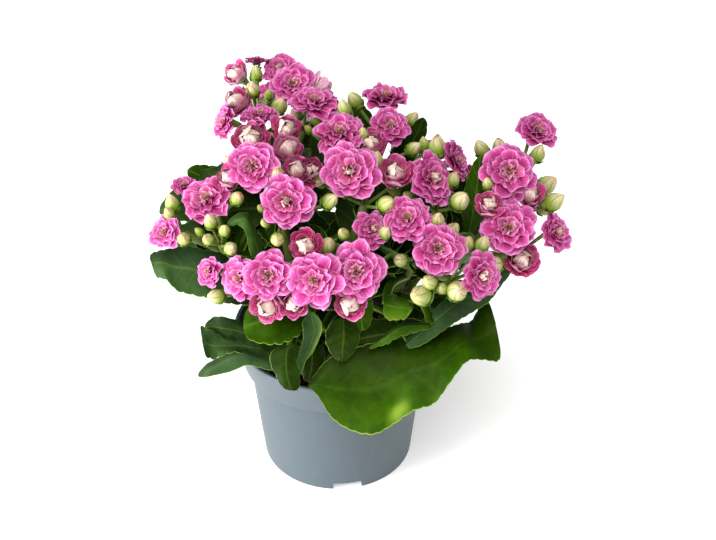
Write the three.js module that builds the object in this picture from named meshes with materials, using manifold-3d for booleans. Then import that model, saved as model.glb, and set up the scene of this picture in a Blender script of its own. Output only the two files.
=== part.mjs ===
// A potted kalanchoe with double flowers. Millimetres, +Z up, standing on z = 0. Places are given from the
// pot's axis, and the finished group is moved so that the origin is under the middle of its box.
// The viewer looks along +Y, so the front of the plant has negative y and its right side positive x.
import * as THREE from 'three';
import { mergeVertices } from 'three/addons/utils/BufferGeometryUtils.js';
import Module from 'manifold-3d';

const wasm = await Module();
wasm.setup();

// Nursery pot, 10.5 cm across the rim
const rimRadius = 52.5;
const rimHeight = 78;
const bandFootRadius = 48.3;
const bandFootHeight = 60;
const bodyTopRadius = 44.9;
const footRadius = 38.8;
const potWall = 1.5;
const floorUnderside = 5;
const floorThickness = 1.6;
const footRingWidth = 3.2;
const notchWidth = 15;
const notchHeight = 4.5;
const notchCount = 3;
const firstNotchTurn = 8;
const drainHoleRadius = 4;
const drainHoleDistance = 24;
const potFacets = 30;
const soilFacets = 20;

// Soil
const soilHeight = 66;
const soilCrown = 68;
const stemHoleDepth = 16;

// Clearance kept between pieces that touch
const gap = 0.32;

// Distance from a flower's middle back to its underside, in parts of its size
const openSeat = 0.2;
const halfOpenSeat = 0.42;

// Green parts
const stemRadius = 3.2;
const branchRadius = 1.7;
const nodeRadius = 2.2;
const pedicelRadius = 0.9;
const calyxRadius = 2.6;
const calyxLength = 5;
const leafThickness = 1.3;
const scallopDepth = 0.035;
const stalkShare = 0.14;
const stalkHalfWidth = 0.09;
const scrapVolume = 90;

// Colour and roughness of each finish
const finishes = {
  pot: { color: 0x8798a0, roughness: 0.55 },
  soil: { color: 0x2b2019, roughness: 0.95 },
  leaf: { color: 0x3f6a14, roughness: 0.5 },
  petal: { color: 0xd44aa6, roughness: 0.6 },
};

const vector = (p) => new THREE.Vector3(p[0], p[1], p[2]);
const mix = (a, b, t) => a.clone().lerp(b, t);
const radians = THREE.MathUtils.degToRad;

// Direction a flower faces: turn 0 is towards the viewer and grows to the right, rise is above the horizontal
function facing(turn, rise) {
  const level = Math.cos(radians(rise));
  return new THREE.Vector3(
    Math.sin(radians(turn)) * level,
    -Math.cos(radians(turn)) * level,
    Math.sin(radians(rise)),
  );
}

// Closed mesh to solid and back
function solidOf(points, triangles) {
  const vertProperties = new Float32Array(points.flatMap((p) => [p.x, p.y, p.z]));
  const triVerts = new Uint32Array(triangles.flat());
  return new wasm.Manifold(new wasm.Mesh({ numProp: 3, vertProperties, triVerts }));
}

function solidOfGeometry(geometry) {
  const bare = geometry.clone();
  bare.deleteAttribute('normal');
  bare.deleteAttribute('uv');
  const merged = mergeVertices(bare, 1e-4);
  return new wasm.Manifold(new wasm.Mesh({
    numProp: 3,
    vertProperties: new Float32Array(merged.attributes.position.array),
    triVerts: new Uint32Array(merged.index.array),
  }));
}

function geometryOf(solid) {
  const mesh = solid.getMesh();
  const positions = new Float32Array(mesh.numVert * 3);
  for (let i = 0; i < mesh.numVert; i += 1) {
    for (let axis = 0; axis < 3; axis += 1) {
      positions[i * 3 + axis] = mesh.vertProperties[i * mesh.numProp + axis];
    }
  }
  const geometry = new THREE.BufferGeometry();
  geometry.setAttribute('position', new THREE.BufferAttribute(positions, 3));
  geometry.setIndex(new THREE.BufferAttribute(new Uint32Array(mesh.triVerts), 1));
  geometry.computeVertexNormals();
  return geometry;
}

const join = (solids) => solids.reduce((all, one) => all.add(one));

// Skin over rings of equal count, with a point at each end
function skin(rings, start, end) {
  const points = [start, ...rings.flat(), end];
  const around = rings[0].length;
  const at = (ring, i) => 1 + ring * around + (i % around);
  const triangles = [];
  for (let i = 0; i < around; i += 1) {
    triangles.push([0, at(0, i + 1), at(0, i)]);
    triangles.push([points.length - 1, at(rings.length - 1, i), at(rings.length - 1, i + 1)]);
    for (let ring = 0; ring < rings.length - 1; ring += 1) {
      triangles.push([at(ring, i), at(ring, i + 1), at(ring + 1, i)]);
      triangles.push([at(ring, i + 1), at(ring + 1, i + 1), at(ring + 1, i)]);
    }
  }
  return solidOf(points, triangles);
}

// Two directions square to an axis, so that side, up and axis turn right-handed
function squareTo(axis) {
  const helper = Math.abs(axis.z) < 0.9 ? new THREE.Vector3(0, 0, 1) : new THREE.Vector3(0, 1, 0);
  const side = new THREE.Vector3().crossVectors(helper, axis).normalize();
  return { side, up: new THREE.Vector3().crossVectors(axis, side) };
}

// Round shape about an axis: each ring is [radius, height, lobe depth, lobe phase] in parts of the size
function turned(centre, axis, size, around, rings, startHeight, endHeight, grow) {
  const { side, up } = squareTo(axis);
  const place = (radius, height, angle) => centre.clone()
    .addScaledVector(axis, height)
    .addScaledVector(side, radius * Math.cos(angle))
    .addScaledVector(up, radius * Math.sin(angle));
  const skinRings = rings.map(([radius, height, lobe, phase]) => {
    const ring = [];
    for (let i = 0; i < around; i += 1) {
      const inward = (i + phase) % 2 === 0 ? 0 : lobe;
      const out = (radius - inward) * size + grow;
      ring.push(place(out, height * size + grow * Math.sign(height), (i / around) * Math.PI * 2));
    }
    return ring;
  });
  return skin(skinRings, place(0, startHeight * size - grow, 0), place(0, endHeight * size + grow, 0));
}

// Open double flower: three layers of lobes stepping up to the middle
function openFlower([x, y, z, turn, rise, size], grow) {
  const rings = [
    [0.5, -0.04, 0.07, 0],
    [0.39, 0.05, 0, 1],
    [0.36, 0.14, 0.06, 1],
    [0.22, 0.1, 0, 0],
    [0.17, 0.2, 0, 0],
  ];
  return turned(vector([x, y, z]), facing(turn, rise), size, size > 22 ? 10 : 8, rings, -openSeat, 0.15, grow);
}

// Half-open flower: a cup of lobes round a ball
function halfOpenFlower([x, y, z, turn, rise, size], grow) {
  const rings = [
    [0.44, -0.12, 0, 0],
    [0.5, 0.16, 0.09, 0],
    [0.3, 0.15, 0, 0],
    [0.24, 0.32, 0, 0],
  ];
  return turned(vector([x, y, z]), facing(turn, rise), size, 8, rings, -halfOpenSeat, 0.4, grow);
}

// Round stem along points, thick as given at each
function stem(points, radii, sides, grow, tip = null) {
  const last = points.length - 1;
  let { side } = squareTo(points[1].clone().sub(points[0]).normalize());
  const rings = points.map((point, i) => {
    const ahead = points[Math.min(i + 1, last)].clone().sub(points[Math.max(i - 1, 0)]).normalize();
    side = side.clone().addScaledVector(ahead, -side.dot(ahead)).normalize();
    const up = new THREE.Vector3().crossVectors(ahead, side);
    const end = i === 0 ? -grow : i === last ? grow : 0;
    const ring = [];
    for (let k = 0; k < sides; k += 1) {
      const angle = (k / sides) * Math.PI * 2;
      ring.push(point.clone()
        .addScaledVector(ahead, end)
        .addScaledVector(side, (radii[i] + grow) * Math.cos(angle))
        .addScaledVector(up, (radii[i] + grow) * Math.sin(angle)));
    }
    return ring;
  });
  const middle = (ring) => ring.reduce((sum, p) => sum.add(p), new THREE.Vector3()).divideScalar(sides);
  return skin(rings, middle(rings[0]), tip ?? middle(rings[last]));
}

// Bud on its stalk: a slim egg that goes on in the direction of the stalk's end
function budOnStalk(start, centre, axis, length, grow) {
  const along = [-0.55, -0.12, 0.26].map((part) => centre.clone().addScaledVector(axis, part * length));
  const tip = centre.clone().addScaledVector(axis, 0.5 * length + grow);
  return stem([start, ...along], [pedicelRadius, pedicelRadius, 0.4 * length, 0.28 * length], 4, grow, tip);
}

// Grid of points whose border is pushed outwards
function widened(grid, margin) {
  const rows = grid.length - 1;
  const columns = grid[0].length - 1;
  const pushed = (point, inner) => point.clone().addScaledVector(point.clone().sub(inner).normalize(), margin);
  const wide = grid.map((row) => row.map((point, j) => {
    if (j === 0) return pushed(point, row[1]);
    return j === columns ? pushed(point, row[columns - 1]) : point.clone();
  }));
  wide[0] = wide[0].map((point, j) => pushed(point, wide[1][j]));
  wide[rows] = wide[rows].map((point, j) => pushed(point, wide[rows - 1][j]));
  return wide;
}

// Blade from a grid of points: the same triangles on both faces, joined by a wall round the edge
function blade(bare, grow) {
  const grid = grow ? widened(bare, grow) : bare;
  const thickness = leafThickness + 2 * grow;
  const rows = grid.length;
  const columns = grid[0].length;
  const normalAt = (i, j) => {
    const along = grid[Math.min(i + 1, rows - 1)][j].clone().sub(grid[Math.max(i - 1, 0)][j]);
    const across = grid[i][Math.min(j + 1, columns - 1)].clone().sub(grid[i][Math.max(j - 1, 0)]);
    return along.cross(across).normalize();
  };
  const upper = [];
  const lower = [];
  for (let i = 0; i < rows; i += 1) {
    for (let j = 0; j < columns; j += 1) {
      const normal = normalAt(i, j);
      upper.push(grid[i][j].clone().addScaledVector(normal, thickness / 2));
      lower.push(grid[i][j].clone().addScaledVector(normal, -thickness / 2));
    }
  }
  const below = rows * columns;
  const at = (i, j) => i * columns + j;
  const triangles = [];
  const wall = (a, b) => triangles.push([a, a + below, b], [b, a + below, b + below]);
  for (let i = 0; i < rows - 1; i += 1) {
    for (let j = 0; j < columns - 1; j += 1) {
      const [a, b, c, d] = [at(i, j), at(i + 1, j), at(i, j + 1), at(i + 1, j + 1)];
      triangles.push([a, b, c], [b, d, c]);
      triangles.push([a + below, c + below, b + below], [b + below, c + below, d + below]);
    }
    wall(at(i, 0), at(i + 1, 0));
    wall(at(i + 1, columns - 1), at(i, columns - 1));
  }
  for (let j = 0; j < columns - 1; j += 1) {
    wall(at(0, j + 1), at(0, j));
    wall(at(rows - 1, j), at(rows - 1, j + 1));
  }
  return solidOf([...upper, ...lower], triangles);
}

// Half the width of a kalanchoe leaf along its blade: widest past the middle, blunt at the tip, scalloped
function leafHalfWidth(along, row) {
  const round = Math.sin(Math.PI * along ** 0.85 * 0.93) ** 0.7;
  const notch = row % 2 === 0 ? scallopDepth : 0;
  return Math.max(stalkHalfWidth, round * 0.5 - notch);
}

// Leaf along a curve from its stem over a bend to its tip, its upper face turned towards face
function leaf(from, { over, to, wide, face, cup = 0.12 }, grow) {
  const curve = new THREE.QuadraticBezierCurve3(from, vector(over), vector(to));
  const bladeRows = wide > 22 ? 8 : 6;
  const columns = wide > 22 ? 4 : 3;
  const grid = [];
  for (let i = -1; i <= bladeRows; i += 1) {
    const alongBlade = Math.max(i, 0) / bladeRows;
    const along = i < 0 ? 0 : stalkShare + (1 - stalkShare) * alongBlade;
    const ahead = curve.getTangent(along);
    const side = new THREE.Vector3().crossVectors(ahead, vector(face)).normalize();
    const outward = new THREE.Vector3().crossVectors(side, ahead);
    const half = wide * leafHalfWidth(alongBlade, i);
    const row = [];
    for (let j = 0; j < columns; j += 1) {
      const across = (j / (columns - 1)) * 2 - 1;
      row.push(curve.getPoint(along)
        .addScaledVector(side, -half * across)
        .addScaledVector(outward, cup * half * across * across));
    }
    grid.push(row);
  }
  return blade(grid, grow);
}

// The great front leaf, which hangs over the rim: [upper edge, lower edge] from its left end to its tip
const frontLeafEdges = [
  [[-8, -39, 95], [-14, -49, 83]],
  [[2, -35, 99], [-8, -58, 71]],
  [[20, -32, 102], [16, -64, 57]],
  [[42, -30, 104], [38, -60, 66]],
  [[59, -26, 105], [57, -52, 77]],
  [[73, -20, 108], [78, -43, 90]],
];

function frontLeaf(grow) {
  const upper = new THREE.CatmullRomCurve3(frontLeafEdges.map((pair) => vector(pair[0])));
  const lower = new THREE.CatmullRomCurve3(frontLeafEdges.map((pair) => vector(pair[1])));
  const steps = 12;
  const columns = 5;
  const bulge = 5;
  const tooth = 0.03;
  const grid = [];
  for (let i = 0; i <= steps; i += 1) {
    const top = upper.getPoint(i / steps);
    const bottom = lower.getPoint(i / steps);
    const row = [];
    for (let j = 0; j < columns; j += 1) {
      const notch = j === columns - 1 && i % 2 === 1 ? tooth : 0;
      const down = j / (columns - 1) - notch;
      const point = mix(top, bottom, down);
      const swell = bulge * Math.sin(Math.PI * down) * Math.sin((Math.PI * (i + 1)) / (steps + 2));
      row.push(point.add(new THREE.Vector3(0.1, -0.7, 0.7).multiplyScalar(swell)));
    }
    grid.push(row.reverse());
  }
  return blade(grid, grow);
}

function frontLeafStalk(grow) {
  return stem([vector([5, -8, 88]), vector([10, -24, 96]), vector([20, -37, 99])], [2.6, 2.4, 2], 6, grow);
}

// Shoots, front ones first. Flowers are [x, y, z, turn, rise, size] and buds [x, y, z, length]
const shoots = [
  {
    name: 'front',
    frontLeaf: true,
    foot: [4, -6],
    knee: [6, -10, 104],
    crown: [8, -20, 140],
    forks: [[14, -18, 164], [2, -42, 138], [14, -32, 148]],
    open: [[7, -22, 184, -5, 42, 27], [-9, -61, 151, -15, 30, 25], [10, -57, 153, 0, 35, 26],
      [17, -41, 165, 40, 40, 17]],
    halfOpen: [[28, -19, 182, 10, 65, 15], [7, -62, 138, 0, 15, 14]],
    buds: [[19, -9, 181, 10], [4, -43, 164, 7], [17, -56, 142, 7], [23, -42, 164, 8], [24, -32, 173, 10]],
    leaves: [
      { height: 108, over: [5, -42, 116], to: [0, -49, 98], wide: 27, face: [0.1, -0.8, 0.55] },
      { height: 120, over: [11, -40, 124], to: [13, -46, 110], wide: 14, face: [0, -0.8, 0.6] },
    ],
  },
  {
    name: 'front_right',
    foot: [20, -6],
    knee: [26, -10, 100],
    crown: [38, -20, 132],
    forks: [[48, -14, 158], [40, -32, 146], [54, -40, 136]],
    open: [[45, -19, 178, 50, 40, 25], [33, -38, 169, 0, 55, 22], [47, -48, 159, 5, 45, 25],
      [57, -7, 181, 75, 30, 19], [67, -52, 147, 35, 25, 21]],
    halfOpen: [],
    buds: [[54, -36, 161, 9], [48, 0, 184, 11], [42, 7, 181, 7], [55, -16, 176, 8], [30, -47, 152, 8],
      [47, -37, 167, 9], [58, -26, 171, 11], [61, -41, 157, 8], [68, -40, 156, 9], [43, -57, 147, 9],
      [39, -59, 141, 12], [49, -55, 142, 7], [56, -57, 142, 12]],
    leaves: [
      { height: 136, over: [33, -36, 140], to: [29, -47, 114], wide: 24, face: [0, -0.8, 0.6] },
      { height: 106, over: [46, -44, 116], to: [18, -43, 98], wide: 22, face: [0.1, -0.5, 0.85] },
      { height: 98, over: [64, -42, 114], to: [90, -24, 136], wide: 28, face: [-0.3, -0.7, 0.6] },
    ],
  },
  {
    name: 'front_left',
    foot: [-12, -10],
    knee: [-15, -15, 98],
    crown: [-21, -24, 132],
    forks: [[-25, -20, 160], [-44, -34, 128], [-24, -42, 130], [-10, -36, 144]],
    open: [[-38, -16, 183, -10, 45, 23], [-22, -34, 175, -5, 40, 25], [-59, -38, 139, -45, 30, 15],
      [-44, -46, 141, -35, 30, 21], [-30, -55, 149, -5, 35, 23]],
    halfOpen: [[-18, -16, 181, 0, 65, 13], [-11, -14, 179, 20, 30, 12], [-13, -48, 161, -10, 50, 14],
      [-31, -58, 134, -10, 0, 15], [-19, -59, 136, 10, 15, 12]],
    buds: [[-26, -21, 182, 8], [-26, -45, 162, 8],
      [-2, -31, 174, 9], [-56, -44, 129, 9], [-3, -46, 160, 9]],
    leaves: [
      { height: 116, over: [-12, -44, 116], to: [-17, -47, 85], wide: 24, face: [-0.9, -0.3, 0.3] },
      { height: 106, over: [-24, -44, 118], to: [-44, -41, 108], wide: 30, face: [0.1, -0.5, 0.86] },
      { height: 84, over: [-20, -50, 96], to: [-27, -55, 73], wide: 26, face: [0, -0.7, 0.7] },
      { height: 136, over: [-26, -38, 158], to: [-42, -27, 168], wide: 14, face: [0.3, -0.8, 0.5] },
    ],
  },
  {
    name: 'left',
    foot: [-24, -2],
    knee: [-33, -6, 100],
    crown: [-52, -12, 130],
    forks: [[-72, -12, 142], [-56, -10, 154], [-54, -24, 146]],
    open: [[-60, -16, 165, -30, 60, 25], [-81, -17, 147, -35, 40, 17], [-72, -4, 165, -30, 85, 13]],
    halfOpen: [[-50, -12, 174, -20, 60, 12]],
    buds: [[-78, -6, 156, 9], [-79, -12, 154, 7], [-71, -27, 150, 8], [-58, -27, 160, 8], [-59, -33, 154, 7],
      [-51, -33, 159, 7], [-48, -39, 153, 8], [-45, -24, 171, 8]],
    leaves: [
      { height: 106, over: [-62, -28, 126], to: [-90, -24, 134], wide: 34, face: [-0.1, -0.7, 0.7] },
      { height: 84, over: [-46, -46, 104], to: [-69, -36, 99], wide: 34, face: [0.1, -0.4, 0.9] },
      { height: 74, over: [-44, -50, 92], to: [-69, -44, 78], wide: 28, face: [-0.2, -0.4, 0.9] },
      { height: 132, over: [-72, -2, 138], to: [-85, 0, 158], wide: 18, face: [-0.8, -0.2, -0.5] },
    ],
  },
  {
    name: 'right',
    foot: [27, 8],
    knee: [38, 6, 102],
    crown: [64, -4, 130],
    forks: [[86, 6, 154], [78, -10, 152], [84, -24, 138]],
    open: [[97, 18, 182, 50, 60, 21], [81, -14, 179, 5, 40, 27], [80, -34, 161, -5, 50, 26],
      [104, -23, 151, 55, 35, 19]],
    halfOpen: [[71, -29, 171, 0, 60, 12], [91, -15, 167, 10, 65, 14], [87, -38, 146, 20, 55, 15],
    ],
    buds: [[101, -3, 165, 11], [74, -43, 147, 9], [69, 5, 180, 9], [78, 8, 179, 9], [103, -15, 163, 11]],
    leaves: [
      { height: 134, over: [66, -14, 158], to: [68, -4, 181], wide: 12, face: [0, -0.9, 0.2] },
      { height: 98, over: [56, 22, 118], to: [72, 18, 100], wide: 34, face: [0.2, 0.1, 0.97] },
      { height: 82, over: [56, 2, 102], to: [66, 0, 86], wide: 30, face: [0.3, -0.2, 0.9] },
    ],
  },
  {
    name: 'back_left',
    foot: [-16, 14],
    knee: [-19, 18, 110],
    crown: [-28, 22, 148],
    forks: [[-38, 40, 174], [-16, 36, 172], [-44, 18, 168], [-24, 8, 168]],
    open: [[-39, 54, 200, 180, 60, 12], [-21, 35, 198, 10, 50, 21], [-28, 52, 197, -20, 60, 18],
      [-10, 23, 195, 0, 88, 24], [-53, 16, 188, -65, 25, 17], [-36, 16, 192, -10, 85, 16],
      [-30, 72, 174, 190, 40, 22], [-42, 60, 170, 215, 35, 19], [-56, 38, 148, 250, 30, 17]],
    halfOpen: [[-49, 45, 198, -60, 50, 12], [-6, 40, 194, 120, 20, 13], [-48, 27, 193, -50, 50, 14],
      [-40, 4, 186, -10, 60, 17], [-23, 6, 190, 0, 65, 14], [-22, -5, 186, 0, 75, 14]],
    buds: [[-39, 45, 198, 8], [-40, 30, 198, 9], [-49, -3, 178, 8]],
    leaves: [
      { height: 140, over: [-52, 10, 152], to: [-71, 5, 168], wide: 17, face: [0, -0.7, 0.7] },
      { height: 92, over: [-46, 34, 116], to: [-64, 44, 90], wide: 36, face: [-0.4, 0.3, 0.85] },
      { height: 104, over: [-28, 52, 128], to: [-38, 72, 98], wide: 38, face: [-0.2, 0.5, 0.84] },
      { height: 80, over: [-46, 10, 98], to: [-62, 14, 84], wide: 30, face: [-0.3, 0.1, 0.95] },
    ],
  },
  {
    name: 'back',
    foot: [8, 18],
    knee: [12, 20, 108],
    crown: [16, 22, 148],
    forks: [[24, 28, 172], [12, 8, 168], [8, 46, 150], [48, 30, 142]],
    open: [[24, 31, 193, 10, 88, 23], [26, 11, 189, 10, 55, 19], [2, 4, 189, -10, 75, 25],
      [-4, 64, 166, 180, 45, 24], [20, 60, 160, 175, 40, 23], [42, 50, 153, 160, 40, 22],
      [64, 34, 149, 140, 40, 21], [84, 24, 162, 130, 40, 18], [8, 74, 146, 178, 15, 20]],
    halfOpen: [[17, 0, 186, 0, 60, 13], [-18, 78, 152, 190, 20, 14], [34, 66, 142, 170, 15, 14]],
    buds: [[4, 18, 194, 9], [9, 28, 193, 9], [-9, 15, 190, 7], [37, 24, 185, 8], [37, 0, 183, 8],
      [50, 46, 138, 8], [22, 76, 136, 8]],
    leaves: [
      { height: 150, over: [36, 18, 168], to: [42, 22, 187], wide: 13, face: [0.3, -0.9, 0.1] },
      { height: 90, over: [14, 52, 114], to: [14, 74, 86], wide: 40, face: [0, 0.5, 0.86] },
      { height: 104, over: [42, 44, 124], to: [58, 56, 94], wide: 36, face: [0.3, 0.4, 0.86] },
      { height: 80, over: [36, 42, 96], to: [44, 50, 76], wide: 26, face: [0.4, 0.4, 0.8] },
    ],
  },
];

// Where a flower's stalk ends, just clear of its underside
function seatOf(flower, seat) {
  return vector(flower).addScaledVector(facing(flower[3], flower[4]), -seat * flower[5] - 1.1 * gap);
}

const nearest = (point, places) => places.reduce((best, place) => (
  place.distanceTo(point) < best.distanceTo(point) ? place : best));

// Point on a stem's middle line at a height
function stemAt(height, foot, knee, crown) {
  const [low, high] = height < knee.z ? [foot, knee] : [knee, crown];
  return mix(low, high, THREE.MathUtils.clamp((height - low.z) / (high.z - low.z), 0, 0.98));
}

// One leafy shoot: stem, branches, flower stalks with their calyces, buds and leaves
function greenShoot(shoot, grow) {
  const crown = vector(shoot.crown);
  const knee = vector(shoot.knee);
  const foot = vector([shoot.foot[0], shoot.foot[1], soilCrown - stemHoleDepth]);
  const forks = shoot.forks.map(vector);
  const [mainFork, ...sideForks] = forks;
  const mainRadii = [stemRadius * 1.1, stemRadius, branchRadius * 1.4, nodeRadius];
  const parts = [stem([foot, knee, crown, mainFork], mainRadii, 6, grow)];
  sideForks.forEach((fork) => {
    const bow = mix(crown, fork, 0.5).add(new THREE.Vector3(0, 0, -2));
    parts.push(stem([crown, bow, fork], [branchRadius * 0.8, branchRadius, nodeRadius], 4, grow));
  });
  const startFor = (end) => nearest(end, forks).clone().add(new THREE.Vector3(0, 0, -nodeRadius / 2));
  const flowerStalk = (flower, seat) => {
    const end = seatOf(flower, seat);
    const neck = end.clone().addScaledVector(facing(flower[3], flower[4]), -calyxLength);
    const radii = [pedicelRadius, pedicelRadius, calyxRadius];
    parts.push(stem([startFor(end), neck, end], radii, 3, grow));
  };
  shoot.open.forEach((flower) => flowerStalk(flower, openSeat));
  shoot.halfOpen.forEach((flower) => flowerStalk(flower, halfOpenSeat));
  shoot.buds.forEach((place) => {
    const centre = vector(place);
    const start = startFor(centre);
    const axis = centre.clone().sub(start).normalize().add(new THREE.Vector3(0, 0, 0.4)).normalize();
    parts.push(budOnStalk(start, centre, axis, place[3], grow));
  });
  shoot.leaves.forEach((one) => parts.push(leaf(stemAt(one.height, foot, knee, crown), one, grow)));
  return join(parts);
}

const petalsOf = (shoot, grow) => join([
  ...shoot.open.map((flower) => openFlower(flower, grow)),
  ...shoot.halfOpen.map((flower) => halfOpenFlower(flower, grow)),
]);

function lathe(profile, facets) {
  const points = profile.map(([radius, height]) => new THREE.Vector2(radius, height));
  return solidOfGeometry(new THREE.LatheGeometry(points, facets).rotateX(Math.PI / 2));
}

// Inner and outer radius of the pot's body at a height
function bodyRadius(height) {
  return footRadius + ((bodyTopRadius - footRadius) * height) / bandFootHeight;
}

function pot() {
  const floorTop = floorUnderside + floorThickness;
  const shell = lathe([
    [0, floorUnderside],
    [footRadius - footRingWidth, floorUnderside],
    [footRadius - footRingWidth, 0],
    [footRadius, 0],
    [bodyTopRadius, bandFootHeight - 0.6],
    [bandFootRadius, bandFootHeight],
    [rimRadius - 0.5, rimHeight - 1.6],
    [rimRadius, rimHeight - 0.8],
    [rimRadius - 0.4, rimHeight],
    [rimRadius - potWall - 0.5, rimHeight],
    [bandFootRadius - potWall, bandFootHeight + 1],
    [bodyTopRadius - potWall, bandFootHeight - 1],
    [bodyRadius(floorTop) - potWall, floorTop],
    [0, floorTop],
  ], potFacets);
  const cutters = [];
  for (let i = 0; i < notchCount; i += 1) {
    const turn = radians(firstNotchTurn + (360 / notchCount) * i - 90);
    const notch = new THREE.BoxGeometry(4 * footRingWidth, notchWidth, notchHeight * 2);
    notch.translate(footRadius, 0, 0).rotateZ(turn);
    cutters.push(solidOfGeometry(notch));
    const hole = new THREE.CylinderGeometry(drainHoleRadius, drainHoleRadius, 4 * floorThickness, 16);
    hole.rotateX(Math.PI / 2).translate(drainHoleDistance, 0, floorUnderside).rotateZ(turn);
    cutters.push(solidOfGeometry(hole));
  }
  return shell.subtract(join(cutters));
}

// Room that the pot takes, with clearance, for trimming the leaves that hang over it
function potRoom() {
  return lathe([
    [0, 0],
    [footRadius + gap, 0],
    [bodyTopRadius + gap, bandFootHeight - 0.6 - gap],
    [bandFootRadius + gap, bandFootHeight - gap],
    [rimRadius + gap, rimHeight - 1.2],
    [rimRadius + gap, rimHeight + gap],
    [rimRadius - potWall - 0.5 - gap, rimHeight + gap],
    [bandFootRadius - potWall - gap, bandFootHeight + 1],
    [0, bandFootHeight + 1],
  ], potFacets);
}

function soil() {
  const floorTop = floorUnderside + floorThickness;
  const bandInside = (height) => bandFootRadius - potWall
    + ((rimRadius - 0.5 - bandFootRadius) * (height - bandFootHeight)) / (rimHeight - bandFootHeight);
  return lathe([
    [0, floorTop + gap],
    [bodyRadius(floorTop) - potWall - gap - 0.2, floorTop + gap],
    [bodyTopRadius - potWall - gap - 0.2, bandFootHeight - 0.4],
    [bandFootRadius - potWall - gap - 0.8, bandFootHeight + 1.4],
    [bandInside(soilHeight) - gap - 0.6, soilHeight],
    [bandInside(soilHeight) * 0.6, soilCrown - 0.6],
    [0, soilCrown],
  ], soilFacets);
}

// Wider than a stem all the way down its hole, so that trimming leaves the stem whole there
function stemWell(shoot) {
  const foot = vector([shoot.foot[0], shoot.foot[1], soilCrown - stemHoleDepth - 2]);
  return stem([foot, vector(shoot.knee)], [stemRadius * 2, stemRadius * 2], 8, 0);
}

const largestFirst = (solid) => solid.decompose().sort((a, b) => b.volume() - a.volume());

const plant = new THREE.Group();
plant.name = 'potted_kalanchoe';

function addNode(name, solid, finish) {
  const material = new THREE.MeshStandardMaterial({ metalness: 0, ...finishes[finish] });
  const mesh = new THREE.Mesh(geometryOf(solid), material);
  mesh.name = name;
  plant.add(mesh);
}

// Each shoot is trimmed clear of the pot and of the shoots before it, and stands in its hole in the soil
const room = potRoom();
let soilWithHoles = soil();
let taken = null;
const greenBodies = shoots.map((shoot) => {
  const whole = [0, gap].map((grow) => join([
    greenShoot(shoot, grow),
    ...(shoot.frontLeaf ? [frontLeaf(grow), frontLeafStalk(grow)] : []),
  ]));
  let body = whole[0].subtract(room.subtract(stemWell(shoot)));
  if (taken) body = body.subtract(taken);
  soilWithHoles = soilWithHoles.subtract(whole[1]);
  taken = taken ? taken.add(whole[1]) : whole[1];
  return largestFirst(body)[0];
});

addNode('pot', pot(), 'pot');
addNode('soil', soilWithHoles, 'soil');
shoots.forEach((shoot, i) => addNode(`shoot_${shoot.name}`, greenBodies[i], 'leaf'));

// Flowers that touch are one body, and each head stays clear of the shoots and of the heads before it
shoots.forEach((shoot) => {
  const bodies = largestFirst(petalsOf(shoot, 0).subtract(taken)).filter((body) => body.volume() > scrapVolume);
  bodies.forEach((body, i) => addNode(`blooms_${shoot.name}_${i + 1}`, body, 'petal'));
  taken = taken.add(petalsOf(shoot, gap));
});

// The origin is under the middle of the whole plant's box, on the surface that the pot stands on
const box = new THREE.Box3().setFromObject(plant);
plant.position.set(-(box.min.x + box.max.x) / 2, -(box.min.y + box.max.y) / 2, -box.min.z);

export default plant;
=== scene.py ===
import math
import random
from functools import partial

import bmesh
import bpy
from mathutils import Matrix, Vector, noise


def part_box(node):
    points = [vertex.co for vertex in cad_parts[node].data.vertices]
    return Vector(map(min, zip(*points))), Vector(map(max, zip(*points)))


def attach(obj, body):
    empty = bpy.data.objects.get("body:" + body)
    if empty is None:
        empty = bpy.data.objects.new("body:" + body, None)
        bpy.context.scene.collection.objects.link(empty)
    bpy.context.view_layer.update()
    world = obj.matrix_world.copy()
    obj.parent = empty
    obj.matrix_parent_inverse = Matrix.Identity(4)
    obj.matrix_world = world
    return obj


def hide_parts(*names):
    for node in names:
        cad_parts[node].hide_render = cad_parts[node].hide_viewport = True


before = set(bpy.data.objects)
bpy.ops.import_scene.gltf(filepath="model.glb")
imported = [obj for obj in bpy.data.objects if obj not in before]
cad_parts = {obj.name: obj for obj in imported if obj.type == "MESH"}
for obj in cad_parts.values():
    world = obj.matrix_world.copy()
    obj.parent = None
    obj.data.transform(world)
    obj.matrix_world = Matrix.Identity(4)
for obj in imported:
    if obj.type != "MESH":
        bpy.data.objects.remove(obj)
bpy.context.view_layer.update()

# Everything is built in millimetres from the pot's axis, then moved into the frame in metres
potLow, potHigh = (Vector(corner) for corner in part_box("pot"))
potAxis = Vector(((potLow.x + potHigh.x) / 2, (potLow.y + potHigh.y) / 2, 0))
toFrame = Matrix.Translation(potAxis) @ Matrix.Scale(0.001, 4)

# Marks on the plant's vertices: tint runs from dark to bright, and on a leaf is partly painted shade and light,
# back is 1 on the far face of a leaf or petal, kind is a painted grey sheen on a leaf, red on a stem, blush on
# a bud and cream on a petal, lines is veins or crimson
markNames = ("tint", "kind", "back", "lines")


# Settings that many nodes share: mix colours, start and end a range softly, multiply, multiply and add
asColour = dict(give=2, data_type="RGBA")
eased = dict(interpolation_type="SMOOTHSTEP")
times = dict(operation="MULTIPLY")
timesPlus = dict(operation="MULTIPLY_ADD")


def linearColour(hexText):
    channels = [int(hexText[i:i + 2], 16) / 255 for i in (1, 3, 5)]
    linear = [c / 12.92 if c <= 0.04045 else ((c + 0.055) / 1.055) ** 2.4 for c in channels]
    return (*linear, 1)


def newMaterial(name):
    material = bpy.data.materials.new(name)
    material.use_nodes = True
    material.node_tree.nodes.clear()
    return material, partial(addNode, material.node_tree)


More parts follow.
